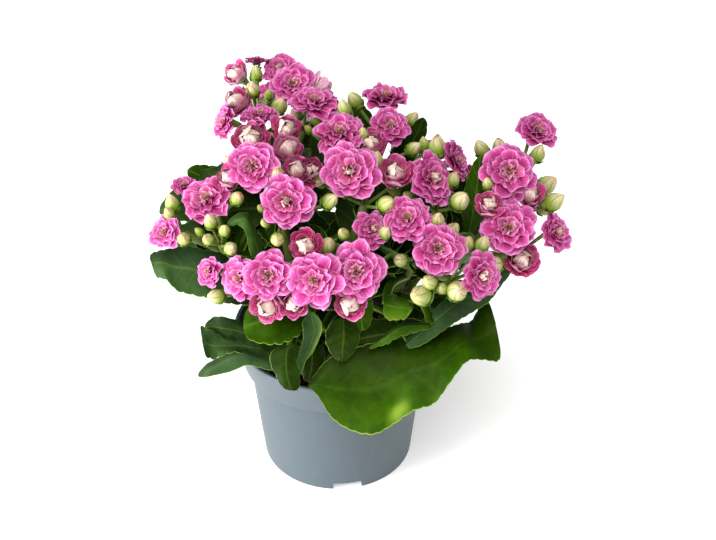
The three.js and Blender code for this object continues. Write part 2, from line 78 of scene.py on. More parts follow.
def addNode(tree, kind, inputs=(), give=0, stops=None, **settings):
    made = tree.nodes.new("ShaderNode" + kind)
    for name, value in settings.items():
        setattr(made, name, value)
    elements = made.color_ramp.elements if stops else ()
    while stops and len(elements) < len(stops):
        elements.new(1)
    for element, (place, hexText) in zip(elements, stops or ()):
        element.position = place
        element.color = linearColour(hexText)
    for socket, value in inputs.items() if isinstance(inputs, dict) else enumerate(inputs):
        if isinstance(value, bpy.types.NodeSocket):
            tree.links.new(value, made.inputs[socket])
        else:
            made.inputs[socket].default_value = linearColour(value) if isinstance(value, str) else value
    return made.outputs[give] if len(made.outputs) else made


def makePolypropylene():
    # Injection-moulded polypropylene: a satin blue-grey with faint flow lines and a little dust
    material, node = newMaterial("mouldedPolypropylene")
    place = node("TexCoord", give="Object")
    clouds = node("TexNoise", {"Vector": place, "Scale": 45, "Detail": 3, "Roughness": 0.55})
    tall = node("Mapping", {0: place, 3: (1, 1, 0.12)})
    # flow lines about 2 mm apart, drawn up the wall
    flow = node("TexNoise", {"Vector": tall, "Scale": 420, "Detail": 2, "Roughness": 0.5})
    base = node("Mix", {0: clouds, 6: "#48555C", 7: "#525F67"}, **asColour)
    bright = node("MapRange", [flow, 0.52, 0.75, 0, 0.22])
    base = node("Mix", {0: bright, 6: base, 7: "#5A6870"}, **asColour)
    # grain of the mould, 0.5 mm
    grain = node("TexNoise", {"Vector": place, "Scale": 1900, "Detail": 2, "Roughness": 0.6})
    height = node("Math", [flow, 0.5, grain], **timesPlus)
    bump = node("Bump", {"Strength": 0.12, "Distance": 0.0003, "Height": height})
    rough = node("MapRange", [clouds, 0, 1, 0.38, 0.52])
    shader = node("BsdfPrincipled", {"Base Color": base, "Roughness": rough, "IOR": 1.49, "Normal": bump})
    node("OutputMaterial", [shader])
    return material


def makePeat():
    # Moist peat: crumbs of dark brown with paler fibres, matt
    material, node = newMaterial("moistPeat")
    place = node("TexCoord", give="Object")
    # crumbs of 3 mm, and fibres of 0.8 mm
    crumbs = node("TexVoronoi", {"Vector": place, "Scale": 330})
    fine = node("TexNoise", {"Vector": place, "Scale": 1200, "Detail": 4, "Roughness": 0.7})
    base = node("ValToRGB", [fine], stops=[(0.3, "#17100B"), (0.55, "#33241A"), (0.8, "#5A4330")])
    height = node("Math", [fine, crumbs], operation="SUBTRACT")
    bump = node("Bump", {"Strength": 0.8, "Distance": 0.0012, "Height": height})
    shader = node("BsdfPrincipled", {"Base Color": base, "Roughness": 0.95, "IOR": 1.4, "Normal": bump})
    node("OutputMaterial", [shader])
    return material


def makeGrit():
    # Perlite grit: white, porous, matt
    material, node = newMaterial("perliteGrit")
    place = node("TexCoord", give="Object")
    pores = node("TexNoise", {"Vector": place, "Scale": 1500, "Detail": 3, "Roughness": 0.7})
    base = node("ValToRGB", [pores], stops=[(0.3, "#B9B4A6"), (0.6, "#EDEAE2")])
    bump = node("Bump", {"Strength": 0.5, "Distance": 0.0005, "Height": pores})
    shader = node("BsdfPrincipled", {"Base Color": base, "Roughness": 0.9, "IOR": 1.5, "Normal": bump})
    node("OutputMaterial", [shader])
    return material


def makeBark():
    # Shredded bark: red-brown, fibrous, matt
    material, node = newMaterial("shreddedBark")
    place = node("TexCoord", give="Object")
    # fibres of 0.7 mm
    fibre = node("TexNoise", {"Vector": place, "Scale": 1400, "Detail": 3, "Roughness": 0.7})
    base = node("ValToRGB", [fibre], stops=[(0.3, "#2A170E"), (0.55, "#54341F"), (0.8, "#7C5836")])
    bump = node("Bump", {"Strength": 0.6, "Distance": 0.0006, "Height": fibre})
    shader = node("BsdfPrincipled", {"Base Color": base, "Roughness": 0.85, "IOR": 1.45, "Normal": bump})
    node("OutputMaterial", [shader])
    return material


def readMarks(node, *wanted):
    # flat, across and along come from the piece's own map, the rest from its vertices
    flat = node("UVMap", uv_map="UVMap")
    across = node("SeparateXYZ", [flat], give="X")
    found = dict(flat=flat, across=across, along=across.node.outputs["Y"])
    for name in markNames:
        if name in wanted:
            found[name] = node("Attribute", give="Fac", attribute_name=name)
    return [found[name] for name in wanted]


def makeLeafSkin():
    # Fleshy waxy leaf: deep green flesh, a paler midrib and side veins, a thin light edge, a painted grey sheen
    # on some
    material, node = newMaterial("waxyLeafSkin")
    around, along, tint, grey, under, lined = readMarks(node, "across", "along", *markNames)
    place = node("TexCoord", give="Object")
    # middle is 0 along the midrib and 1 at both edges, on both faces of the leaf
    turn = node("Math", [around, 2 * math.pi], **times)
    middle = node("Math", [node("Math", [turn], operation="COSINE")], operation="ABSOLUTE")
    # cloudy patches about 8 mm wide and speckles of 0.6 mm
    patches = node("TexNoise", {"Vector": place, "Scale": 120, "Detail": 4, "Roughness": 0.6})
    speckle = node("TexNoise", {"Vector": place, "Scale": 1600, "Detail": 2, "Roughness": 0.6})
    # the tint is partly painted shade and light: leaves in shade are set dark, backlit ones bright
    deep = node("Mix", {0: tint, 6: "#081401", 7: "#294C01"}, **asColour)
    soft = node("Mix", {0: tint, 6: "#102002", 7: "#3C6202"}, **asColour)
    cloudy = node("MapRange", [patches, 0.35, 0.7, 0, 1], **eased)
    flesh = node("Mix", {0: cloudy, 6: deep, 7: soft}, **asColour)
    # painted sheen: a grey-green reflection painted on the leaves that carry the kind mark
    paintedSheen = node("Mix", {0: patches, 6: "#1C3122", 7: "#3A523A"}, **asColour)
    greyness = node("Math", [grey, 0.6], **times)
    dots = node("Math", [speckle, 0.06], **times)
    # a midrib 1 to 2 mm wide, and side veins that leave it slanting forwards
    rib = node("MapRange", [middle, 0.02, 0.1, 1, 0], **eased)
    slant = node("Math", [middle, -0.16, along], **timesPlus)
    wave = node("Math", [node("Math", [slant, 42], **times)], operation="SINE")
    vein = node("MapRange", [wave, 0.86, 1, 0, 0.5], **eased)
    fade = node("Math", [1, middle], operation="SUBTRACT")
    lines = node("Math", [rib, node("Math", [vein, fade], **times)], operation="MAXIMUM")
    paler = node("Math", [lines, lined], **times)
    edge = node("MapRange", [middle, 0.965, 0.995, 0, 0.7], **eased)
    # where the tint passes 0.9 the leaf is bleached
    spot = node("MapRange", [tint, 0.9, 1.9, 0, 0.55], **eased)
    below = node("Math", [under, 0.35], **times)
    layers = ((greyness, paintedSheen), (dots, "#4E7A10"), (paler, "#8FB04C"), (edge, "#9DB64A"), (spot, "#92AA38"),
              (below, "#7C9A58"))
    for share, colour in layers:
        flesh = node("Mix", {0: share, 6: flesh, 7: colour}, **asColour)
    sunk = node("Math", [lines, -0.3], **times)
    height = node("Math", [patches, 0.5, sunk], **timesPlus)
    height = node("Math", [speckle, 0.08, height], **timesPlus)
    bump = node("Bump", {"Strength": 0.35, "Distance": 0.0009, "Height": height})
    rough = node("MapRange", [patches, 0, 1, 0.36, 0.5])
    shader = node("BsdfPrincipled", {
        "Base Color": flesh, "Roughness": rough, "IOR": 1.42, "Specular IOR Level": 0.22,
        "Specular Tint": "#C4D68C", "Subsurface Weight": 0.08, "Subsurface Scale": 0.002,
        "Subsurface Radius": (0.4, 1, 0.2), "Normal": bump,
    })
    node("OutputMaterial", [shader])
    return material


def makeStemSkin():
    # Smooth sappy stem: fresh green that turns brown-red in places, with pale flecks
    material, node = newMaterial("sappyStemSkin")
    tint, red = readMarks(node, "tint", "kind")
    place = node("TexCoord", give="Object")
    # flecks of 1 mm
    flecks = node("TexNoise", {"Vector": place, "Scale": 700, "Detail": 3, "Roughness": 0.6})
    green = node("Mix", {0: tint, 6: "#2F5212", 7: "#7C9E38"}, **asColour)
    paler = node("Math", [flecks, 0.3], **times)
    green = node("Mix", {0: paler, 6: green, 7: "#A9BC6A"}, **asColour)
    patchy = node("MapRange", [flecks, 0.2, 0.6, 0, 1], **eased)
    rust = node("Math", [red, patchy], **times)
    base = node("Mix", {0: rust, 6: green, 7: "#5A1C20"}, **asColour)
    bump = node("Bump", {"Strength": 0.2, "Distance": 0.0004, "Height": flecks})
    shader = node("BsdfPrincipled", {"Base Color": base, "Roughness": 0.42, "IOR": 1.42, "Normal": bump})
    node("OutputMaterial", [shader])
    return material


def makeBudSkin():
    # Closed bud: pale green-cream petals rolled tight, dull seams between them and a pink blush at the tip
    material, node = newMaterial("rolledBudSkin")
    around, along, tint, blush = readMarks(node, "across", "along", "tint", "kind")
    place = node("TexCoord", give="Object")
    # blotches of 2 mm
    blotch = node("TexNoise", {"Vector": place, "Scale": 420, "Detail": 3, "Roughness": 0.6})
    higher = node("MapRange", [along, 0.35, 0.95, 0, 1], **eased)
    green = node("Mix", {0: higher, 6: "#6C8C1A", 7: "#BCC45C"}, **asColour)
    cream = node("Mix", {0: higher, 6: "#86A02A", 7: "#E8DAAE"}, **asColour)
    base = node("Mix", {0: tint, 6: green, 7: cream}, **asColour)
    twist = node("Math", [along, 0.22, around], **timesPlus)
    wave = node("Math", [node("Math", [twist, 5 * math.pi], **times)], operation="SINE")
    seam = node("MapRange", [node("Math", [wave], operation="ABSOLUTE"), 0.02, 0.22, 1, 0], **eased)
    upper = node("MapRange", [along, 0.3, 0.7, 0, 0.85], **eased)
    seam = node("Math", [seam, upper], **times)
    base = node("Mix", {0: seam, 6: base, 7: "#86503C"}, **asColour)
    tip = node("MapRange", [along, 0.6, 1, 0, 1], **eased)
    spot = node("MapRange", [blotch, 0.4, 0.62, 0, 1], **eased)
    tip = node("Math", [node("Math", [tip, spot], **times), blush], **times)
    base = node("Mix", {0: tip, 6: base, 7: "#A82A50"}, **asColour)
    sunk = node("Math", [seam, -1.5], **times)
    height = node("Math", [blotch, 0.3, sunk], **timesPlus)
    bump = node("Bump", {"Strength": 0.5, "Distance": 0.0004, "Height": height})
    shader = node("BsdfPrincipled", {
        "Base Color": base, "Roughness": 0.4, "IOR": 1.4, "Subsurface Weight": 0.12, "Subsurface Scale": 0.0015,
        "Subsurface Radius": (1, 0.9, 0.5), "Normal": bump,
    })
    node("OutputMaterial", [shader])
    return material


def makePetalSkin():
    # Soft matt petal: magenta at the claw, deepened there as painted shade between the layers, orchid pink on
    # the face, a thin pale edge, cream if an inner one
    material, node = newMaterial("softPetalSkin")
    flat, across, along, tint, cream, back, lined = readMarks(node, "flat", "across", "along", *markNames)
    side = node("Math", [node("Math", [across, 2, -1], **timesPlus)], operation="ABSOLUTE")
    # streaks from claw to edge: 0.4 mm apart on the real petal, drawn 1 mm apart so that they show
    lengthwise = node("Mapping", {0: flat, 3: (9, 1.1, 1)})
    streaks = node("TexNoise", {"Vector": lengthwise, "Scale": 1, "Detail": 2, "Roughness": 0.5})
    mottle = node("TexNoise", {"Vector": flat, "Scale": 5, "Detail": 2, "Roughness": 0.5})
    # the deep crimson at the claw is partly the petal's own colour and partly painted shade between the layers
    bright = [(0.22, "#B00060"), (0.5, "#CE0A8A"), (0.76, "#D8369E"), (0.97, "#E478BE")]
    dusky = [(0.25, "#8C0040"), (0.58, "#B60066"), (0.84, "#C21884"), (0.99, "#CE4CA8")]
    bright, dusky = (node("ValToRGB", [along], stops=stops) for stops in (bright, dusky))
    face = node("Mix", {0: tint, 6: dusky, 7: bright}, **asColour)
    white = [(0.15, "#B41250"), (0.4, "#D87A86"), (0.62, "#EAD8C0"), (0.95, "#F2EAD2")]
    white = node("ValToRGB", [along], stops=white)
    crimson = node("ValToRGB", [along], stops=[(0.05, "#A80048"), (0.5, "#DA0E70"), (0.9, "#E044A0")])
    outside = node("ValToRGB", [along], stops=[(0.05, "#B9C070"), (0.4, "#E4C4C4"), (0.95, "#E6A0C4")])
    for share, colour in ((lined, crimson), (cream, white), (back, outside)):
        face = node("Mix", {0: share, 6: face, 7: colour}, **asColour)
    darker = node("MapRange", [streaks, 0.45, 0.66, 0, 0.62], **eased)
    face = node("Mix", {0: darker, 6: face, 7: "#B01C70"}, blend_type="MULTIPLY", **asColour)
    light = node("MapRange", [streaks, 0.5, 0.3, 0, 0.46], **eased)
    paler = node("Math", [mottle, 0.12, light], **timesPlus)
    face = node("Mix", {0: paler, 6: face, 7: "#F7C6E6"}, **asColour)
    tipEdge = node("MapRange", [along, 0.88, 1, 0, 0.72], **eased)
    sideEdge = node("MapRange", [side, 0.86, 1, 0, 0.72], **eased)
    outer = node("MapRange", [along, 0.35, 0.6, 0, 1], **eased)
    sideEdge = node("Math", [sideEdge, outer], **times)
    # the edge is finely toothed, so its pale line breaks up, here about every 1 mm
    teeth = node("MapRange", [streaks, 0.3, 0.6, 0.45, 1], **eased)
    rim = node("Math", [node("Math", [tipEdge, sideEdge], operation="MAXIMUM"), teeth], **times)
    rimColour = node("Mix", {0: lined, 6: "#EAA6D2", 7: "#F4D2E2"}, **asColour)
    rimColour = node("Mix", {0: cream, 6: rimColour, 7: "#C86C84"}, **asColour)
    face = node("Mix", {0: rim, 6: face, 7: rimColour}, **asColour)
    bump = node("Bump", {"Strength": 0.3, "Distance": 0.0004, "Height": streaks})
    shader = node("BsdfPrincipled", {
        "Base Color": face, "Roughness": 0.6, "IOR": 1.4, "Specular IOR Level": 0.25,
        "Subsurface Weight": 0.1, "Subsurface Scale": 0.0015, "Subsurface Radius": (1, 0.5, 0.8),
        "Normal": bump,
    })
    node("OutputMaterial", [shader])
    return material


def makeStyles():
    # Tiny styles at the heart of a flower: waxy yellow-green with tan tips
    material, node = newMaterial("waxyStyles")
    [along] = readMarks(node, "along")
    base = node("ValToRGB", [along], stops=[(0.2, "#9DB043"), (0.8, "#DCCB6A"), (0.97, "#C98F4A")])
    shader = node("BsdfPrincipled", {"Base Color": base, "Roughness": 0.45, "IOR": 1.4})
    node("OutputMaterial", [shader])
    return material


materials = dict(
    pot=makePolypropylene(), peat=makePeat(), grit=makeGrit(), bark=makeBark(), leaf=makeLeafSkin(),
    stem=makeStemSkin(), bud=makeBudSkin(), petal=makePetalSkin(), styles=makeStyles(),
)
print("materials made")


def newShape():
    bm = bmesh.new()
    for name in markNames:
        bm.verts.layers.float.new(name)
    bm.loops.layers.uv.new("UVMap")
    return bm


# A grid bent into a sheet, or into a closed skin whose seam and ends are merged
def addSheet(bm, columns, rows, shape, marks=(0.5, 0, 0, 0), slotNumber=0, closed=False):
    made = bmesh.ops.create_grid(bm, x_segments=columns, y_segments=rows, size=0.5, calc_uvs=True)["verts"]
    layers = [bm.verts.layers.float[name] for name in markNames]
    faces = {face for vert in made for face in vert.link_faces}
    for vert in made:
        u, v = vert.co.x + 0.5, vert.co.y + 0.5
        vert.co = shape(u, v)
        for layer, value in zip(layers, marks):
            vert[layer] = value(u, v) if callable(value) else value
    for face in faces:
        face.smooth = True
        face.material_index = slotNumber
    if closed:
        bmesh.ops.remove_doubles(bm, verts=made, dist=0.0005)
        bmesh.ops.recalc_face_normals(bm, faces=[face for face in faces if face.is_valid])


def addObject(name, data):
    made = bpy.data.objects.new(name, data)
    bpy.context.scene.collection.objects.link(made)
    return made


def meshFrom(bm, name):
    mesh = bpy.data.meshes.new(name)
    bm.to_mesh(mesh)
    bm.free()
    return mesh


def finishPiece(bm, name, skins, nodes, sharpAngle=None):
    bm.transform(toFrame)
    if sharpAngle is not None:
        for edge in bm.edges:
            edge.smooth = edge.calc_face_angle(0) < math.radians(sharpAngle)
    mesh = meshFrom(bm, name)
    for skin in skins:
        mesh.materials.append(materials[skin])
    piece = addObject(name, mesh)
    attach(piece, "root")
    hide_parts(*nodes)
    print(f"{name}: {len(mesh.polygons)} faces")


# Direction a flower faces: turn 0 is towards the viewer and grows to the right, rise is above the horizontal
def facing(turn, rise):
    turn, rise = math.radians(turn), math.radians(rise)
    return Vector((math.sin(turn) * math.cos(rise), -math.cos(turn) * math.cos(rise), math.sin(rise)))


def squareTo(axis):
    helper = Vector((0, 0, 1)) if abs(axis.z) < 0.9 else Vector((0, 1, 0))
    side = helper.cross(axis).normalized()
    return side, axis.cross(side)


def curvePoint(points, t):
    # smooth curve through the points
    last = len(points) - 1
    k = min(int(t * last), last - 1)
    f = t * last - k
    a, b, c, d = (points[max(0, min(last, k + i))] for i in (-1, 0, 1, 2))
    return 0.5 * (2 * b + (c - a) * f + (2 * a - 5 * b + 4 * c - d) * f * f + (3 * b - a - 3 * c + d) * f ** 3)


# Round tube along points with a radius at each, closed at both ends
def addTube(bm, points, radii, around, rows, marks=(0.5, 0, 0, 0), slotNumber=0):
    last = len(points) - 1
    places, sizes, frames = [], [], []
    for i in range(rows + 1):
        t = i / rows
        k = min(int(t * last), last - 1)
        places.append(curvePoint(points, t))
        sizes.append(radii[k] + (radii[k + 1] - radii[k]) * (t * last - k))
    side, up = squareTo((places[1] - places[0]).normalized())
    for i in range(rows + 1):
        ahead = (places[min(i + 1, rows)] - places[max(i - 1, 0)]).normalized()
        side = (side - ahead * side.dot(ahead)).normalized()
        frames.append((side, ahead.cross(side)))

    # one row more at each end closes the tube
    def shape(u, v):
        row = round(v * (rows + 2)) - 1
        ring = max(0, min(rows, row))
        size = sizes[ring] if row == ring else 0
        angle = 2 * math.pi * u
        side, up = frames[ring]
        return places[ring] + side * size * math.cos(angle) + up * size * math.sin(angle)

    addSheet(bm, around, rows + 2, shape, marks, slotNumber, closed=True)


# One petal or sepal: it leaves the axis at one lean and ends at another, both in degrees from the axis.
# It is widest at a share of its length, and its claw is narrower by the waist
def petalShape(centre, axis, turn, length, width, lean, endLean, base, height, cup=0.12, ruffle=0, phase=0,
               waist=0.3, pointed=0, widest=0.72):
    side, up = squareTo(axis)
    outward = side * math.cos(turn) + up * math.sin(turn)
    sideways = up * math.cos(turn) - side * math.sin(turn)
    start = math.radians(lean)
    sweep = math.radians(endLean - lean) or 0.001

    def shape(u, v):
        # s runs from 1 at one side to -1 at the other. The end is round, with a faintly uneven edge
        s = 1 - 2 * u
        reach = v * (1 - 0.2 * abs(s) ** 2.1 * v) + 0.02 * math.sin(9.4 * s + 3 * phase) * v ** 5
        angle = start + sweep * reach
        out = base + length * (math.cos(start) - math.cos(angle)) / sweep
        rise = height + length * (math.sin(angle) - math.sin(start)) / sweep
        grown = math.sin(min(1, v / widest) * math.pi / 2)
        taper = 1 - (0.22 + pointed) * max(0, v - widest) / (1 - widest)
        half = width / 2 * (waist + (1 - waist) * grown) * taper
        # the sides lift into a cup, and waves grow towards the end
        lift = cup * width * s * s * (0.4 + 0.6 * v) + ruffle * math.sin(5.2 * s + phase) * v * v
        lift -= 0.35 * ruffle * v ** 3
        return (centre + outward * (out - math.cos(angle) * lift) + sideways * half * s
                + axis * (rise + math.sin(angle) * lift))

    return shape


# What the flowers are made of. Each whorl, from the outside in: petals, length, width, lean at the claw and
# at the tip, distance from the axis and height of the claw, cream 0 to 1. Lengths are in parts of the size.
flowerSettings = dict(
    openWhorls=[
        (7, 0.50, 0.42, 52, 102, 0.04, -0.15, 0.0),
        (6, 0.45, 0.40, 42, 90, 0.04, -0.13, 0.0),
        (6, 0.37, 0.33, 32, 78, 0.03, -0.10, 0.0),
        (5, 0.28, 0.26, 20, 64, 0.03, -0.07, 0.1),
        (4, 0.20, 0.18, 6, 46, 0.02, -0.05, 0.35),
        (3, 0.15, 0.12, -8, 24, 0.02, -0.04, 0.6),
    ],
    # the petals of a closed white heart, which take the place of the two inner whorls in some flowers
    whiteHeart=[(4, 0.26, 0.19, 40, -34, 0.01, -0.04, 1.0), (3, 0.20, 0.13, 30, -30, 0.01, -0.02, 1.0)],
    whiteHeartShare=0.45,
    halfOpenWhorls=[
        (6, 0.70, 0.50, 75, 10, 0.06, -0.36, 0.0),
        (5, 0.63, 0.46, 66, 0, 0.05, -0.34, 0.05),
        (5, 0.60, 0.40, 62, -18, 0.04, -0.33, 0.5),
        (4, 0.68, 0.43, 75, -75, 0.02, -0.22, 1.0),
    ],
    petalFaces=(6, 6), ruffle=0.04, openGrowth=1.07, halfOpenGrowth=1.16, openSeat=0.2, halfOpenSeat=0.42,
    clearance=0.35,
    # how much one petal differs from the next: turn, lean at the tip, length, width, cup and ruffle
    turnRange=(-0.24, 0.24), tiltRange=(-18, 12), lengthRange=(0.86, 1.1), widthRange=(0.85, 1.2),
    cupRange=(0.04, 0.16), ruffleRange=(0.3, 1.5),
    # flowers below this height are the palest
    paleBelow=158, paleExtra=0.35,
    # the pale outside of a cupped petal lies this far behind its face
    outsideGap=0.012, outsideLength=0.985,
    styleFaces=(2, 4),
)


def addFlower(bm, flower, whorls, chance, isOpen):
    s = flowerSettings
    x, y, z, turn, rise, size = flower
    centre, axis = Vector((x, y, z)), facing(turn, rise)
    size *= s["openGrowth" if isOpen else "halfOpenGrowth"]
    first = chance.uniform(0, 2 * math.pi)
    # half-open flowers are still crimson
    if isOpen:
        tint = chance.uniform(0.25, 0.7) + (s["paleExtra"] if z < s["paleBelow"] else 0)
    else:
        tint = chance.uniform(0, 0.3)
    if isOpen and chance.random() < s["whiteHeartShare"]:
        whorls = whorls[:4] + s["whiteHeart"]
    for ring, (count, length, width, lean, endLean, base, height, cream) in enumerate(whorls):
        for k in range(count):
            angle = first + 2 * math.pi * (k + 0.5 * ring + chance.uniform(*s["turnRange"])) / count
            tilt = chance.uniform(*s["tiltRange"])
            petal = dict(
                length=length * size * chance.uniform(*s["lengthRange"]),
                width=width * size * chance.uniform(*s["widthRange"]),
                lean=lean, endLean=endLean + tilt, base=base * size, height=height * size,
                cup=chance.uniform(*s["cupRange"]), phase=chance.uniform(0, 6),
                ruffle=s["ruffle"] * size * chance.uniform(*s["ruffleRange"]) * (1 if isOpen else 0.4),
            )
            marks = (tint * chance.uniform(0.7, 1.25), cream, 0, 0 if isOpen else 1 - cream)
            addSheet(bm, *s["petalFaces"], petalShape(centre, axis, angle, **petal), marks)
            if not isOpen and ring < 2:
                petal["base"] += s["outsideGap"] * size
                petal["length"] *= s["outsideLength"]
                addSheet(bm, *s["petalFaces"], petalShape(centre, axis, angle, **petal), (0.5, 0.2, 1, 0))
    if isOpen and whorls[-1][-1] < 1:
        for k in range(4):
            angle = first + k * math.pi / 2
            style = petalShape(centre, axis, angle, 0.2 * size, 0.045 * size, -4, 14, 0.02 * size, -0.04 * size)
            addSheet(bm, *s["styleFaces"], style, slotNumber=1)


def seatOf(flower, seat):
    return Vector(flower[:3]) - facing(flower[3], flower[4]) * (seat * flower[5] + flowerSettings["clearance"])


# Stems, flower stalks, calyces and closed buds
stemSettings = dict(
    footHeight=52, stemRadii=(3.5, 3.2, 2.4, 2.2), branchRadii=(1.4, 1.7, 2.2), stalkRadius=0.85,
    calyxRadius=2.5, calyxLength=5, stalkFaces=8, budFaces=(20, 12), sepalFaces=(3, 4), budGrowth=1.14,
    budWidth=0.35, budTwist=0.22, seamDepth=0.12,
    # a bud of the first length is still green, and turns cream over the second
    ripeFrom=5.5, ripeOver=3.5, ripeRange=(0.4, 0.95),
)


def addSepals(bm, centre, axis, size, lean, endLean, length, width, base, height, chance):
    first = chance.uniform(0, 2 * math.pi)
    for k in range(4):
        sepal = petalShape(centre, axis, first + k * math.pi / 2, length * size, width * size, lean,
                           endLean + chance.uniform(-5, 5), base * size, height * size, pointed=0.55, waist=0.7)
        addSheet(bm, *stemSettings["sepalFaces"], sepal, (chance.uniform(0.4, 0.8), 0, 0, 0))


def budShape(centre, axis, length, phase):
    side, up = squareTo(axis)

    def shape(u, v):
        along = min(1, max(0, v))
        radius = stemSettings["budWidth"] * length * max(0, math.sin(math.pi * along ** 0.78)) ** 0.8
        seam = abs(math.sin(2.5 * (2 * math.pi * (u + stemSettings["budTwist"] * along))))
        radius *= 1 + stemSettings["seamDepth"] * along * (seam - 0.6)
        angle = 2 * math.pi * u + phase
        return (centre + axis * length * (along - 0.5) + side * radius * math.cos(angle)
                + up * radius * math.sin(angle))

    return shape


def addStems(bm, shoot, chance):
    s = stemSettings
    foot = Vector((*shoot["foot"], s["footHeight"]))
    knee, crown = Vector(shoot["knee"]), Vector(shoot["crown"])
    forks = [Vector(fork) for fork in shoot["forks"]]
    # foot, knee and crown in a smooth sweep to the first fork, and an arm to each other fork
    addTube(bm, [foot, knee, crown, forks[0]], s["stemRadii"], 12, 24, (0.35, 0.35, 0, 0))
    for fork in forks[1:]:
        bow = crown.lerp(fork, 0.5) - Vector((0, 0, 2))
        addTube(bm, [crown, bow, fork], s["branchRadii"], 10, 10, (0.45, 0.25, 0, 0))
    radius = s["stalkRadius"]
    for kind, seat in (("open", "openSeat"), ("halfOpen", "halfOpenSeat")):
        for flower in shoot[kind]:
            size, axis = flower[5], facing(flower[3], flower[4])
            end = seatOf(flower, flowerSettings[seat])
            start = min(forks, key=lambda fork: (fork - end).length) - Vector((0, 0, 1))
            neck = end - axis * s["calyxLength"]
            middle = start.lerp(neck, 0.5)
            red = chance.choice((0, 0.2, 0.8))
            sizes = (radius, radius, radius * 1.15)
            marks = (chance.uniform(0.4, 0.8), red, 0, 0)
            addTube(bm, [start, middle, neck], sizes, s["stalkFaces"], 8, marks)
            cup = [neck - axis * 0.4, neck + axis * 2.2, end]
            addTube(bm, cup, (radius * 1.1, 1.7, s["calyxRadius"]), 12, 5)
            if kind == "open":
                addSepals(bm, end, axis, size, 35, 80, 0.3, 0.15, 0.05, -0.05, chance)
            else:
                addSepals(bm, end, axis, size, 78, 8, 0.42, 0.26, 0.1, -0.03, chance)
    for x, y, z, length in shoot["buds"]:
        length *= s["budGrowth"]
        centre = Vector((x, y, z))
        start = min(forks, key=lambda fork: (fork - centre).length) - Vector((0, 0, 1))
        axis = ((centre - start).normalized() + Vector((0, 0, 0.4))).normalized()
        base = centre - axis * length * 0.5
        stalk = [start, start.lerp(base, 0.5) - Vector((0, 0, 0.6)), base + axis]
        marks = (chance.uniform(0.4, 0.9), chance.choice((0, 0, 0.7)), 0, 0)
        addTube(bm, stalk, (radius, radius, radius * 1.1), s["stalkFaces"], 8, marks)
        addSepals(bm, centre, axis, length, 82, 6, 0.5, 0.5, 0.09, -0.5, chance)
        ripe = min(1, max(0, (length - s["ripeFrom"]) / s["ripeOver"])) * chance.uniform(*s["ripeRange"])
        skin = budShape(centre, axis, length, chance.uniform(0, 6))
        marks = (ripe, chance.choice((0.1, 0.45, 0.85)), 0, 0)
        addSheet(bm, *s["budFaces"], skin, marks, slotNumber=1, closed=True)


# Leaves. Two sorts fill the plant from inside: the canopy reaches up and out under the flowers, and fillers
# stand in pairs up the stem
leafSettings = dict(
    thickness=1.3, stalkShare=0.14, stalkHalfWidth=0.08, toothSpacing=5.2, toothDepth=0.09, cup=0.12, wave=0.1,
    around=28, rowsPerTooth=6, veinRange=(0.08, 0.3),
    canopyTries=60, canopyLeaves=9, canopyRoot=(2, 26), canopyReach=(14, 34), canopyRise=(4, 34),
    canopyBow=6, canopyArch=(-4, 6), canopyWidth=(18, 27), flowerClearance=4,
    # the canopy stays inside an ellipse: middle, half sizes and share of its area
    canopyMiddle=(9, 6), canopyHalf=(88, 62), canopyShare=0.85,
    fillerPairs=5, fillerFirst=82, fillerStep=16, fillerSpan=(24, 36), fillerWidth=(17, 25), fillerRise=(0, 12),
    fillerArch=(8, 15), fillerMiddle=(8, 0), fillerHalf=(66, 44), fillerReach=60,
)


def bowAt(root, bend, tip, t):
    # a curve from root to tip that leans towards the bend
    return root * (1 - t) ** 2 + bend * 2 * t * (1 - t) + tip * t * t


def ellipseShare(spot, middle, half):
    # below 1 inside, 1 on the edge
    return ((spot.x - middle[0]) / half[0]) ** 2 + ((spot.y - middle[1]) / half[1]) ** 2


def leafShape(root, bend, tip, wide, face, teeth, phase):
    faceUp = Vector(face).normalized()
    s = leafSettings

    def shape(u, v):
        t = min(1, max(0, v))
        spot = bowAt(root, bend, tip, t)
        ahead = ((bend - root) * (1 - t) + (tip - bend) * t).normalized()
        side = ahead.cross(faceUp).normalized()
        outward = side.cross(ahead)
        # the blade starts past the stalk, swells, is scalloped and ends bluntly
        blade = max(0, (t - s["stalkShare"]) / (1 - s["stalkShare"]))
        swell = 0.5 * max(0, math.sin(math.pi * blade ** 0.85 * 0.93)) ** 0.7
        scallop = 1 - s["toothDepth"] * (1 - abs(math.sin(math.pi * teeth * blade)) ** 0.7) * min(1, 4 * blade)
        blunt = math.sqrt(max(0, 1 - max(0, (blade - 0.9) / 0.1) ** 2))
        half = wide * (swell ** 4 + s["stalkHalfWidth"] ** 4) ** 0.25 * scallop * blunt
        half *= 0 if t == 0 else 1
        angle = 2 * math.pi * u
        across = -math.cos(angle)
        thick = s["thickness"] * (1 - 0.4 * abs(across)) * (1.8 - 0.8 * min(1, blade * 4)) * min(1, blunt * 2)
        thick *= 0 if t == 0 else 0.5
        flat = math.copysign(abs(math.sin(angle)) ** 0.6, math.sin(angle)) * thick
        flat += s["cup"] * half * across * across
        flat += s["wave"] * half * math.sin(7 * blade + phase + across) * across * across
        return spot - side * half * across + outward * flat

    return shape


def farFace(u, v):
    return 1 if u > 0.5 else 0


def addLeaf(bm, root, bend, tip, wide, face, look, chance):
    s = leafSettings
    length = (bend - root).length + (tip - bend).length
    blade = 1 - s["stalkShare"]
    teeth = max(4, round(length * blade / s["toothSpacing"]))
    rows = round(teeth * s["rowsPerTooth"] / blade)
    shape = leafShape(root, bend, tip, wide, face, teeth, chance.uniform(0, 6))
    marks = (*look, farFace, chance.uniform(*s["veinRange"]))
    addSheet(bm, s["around"], rows, shape, marks, closed=True)


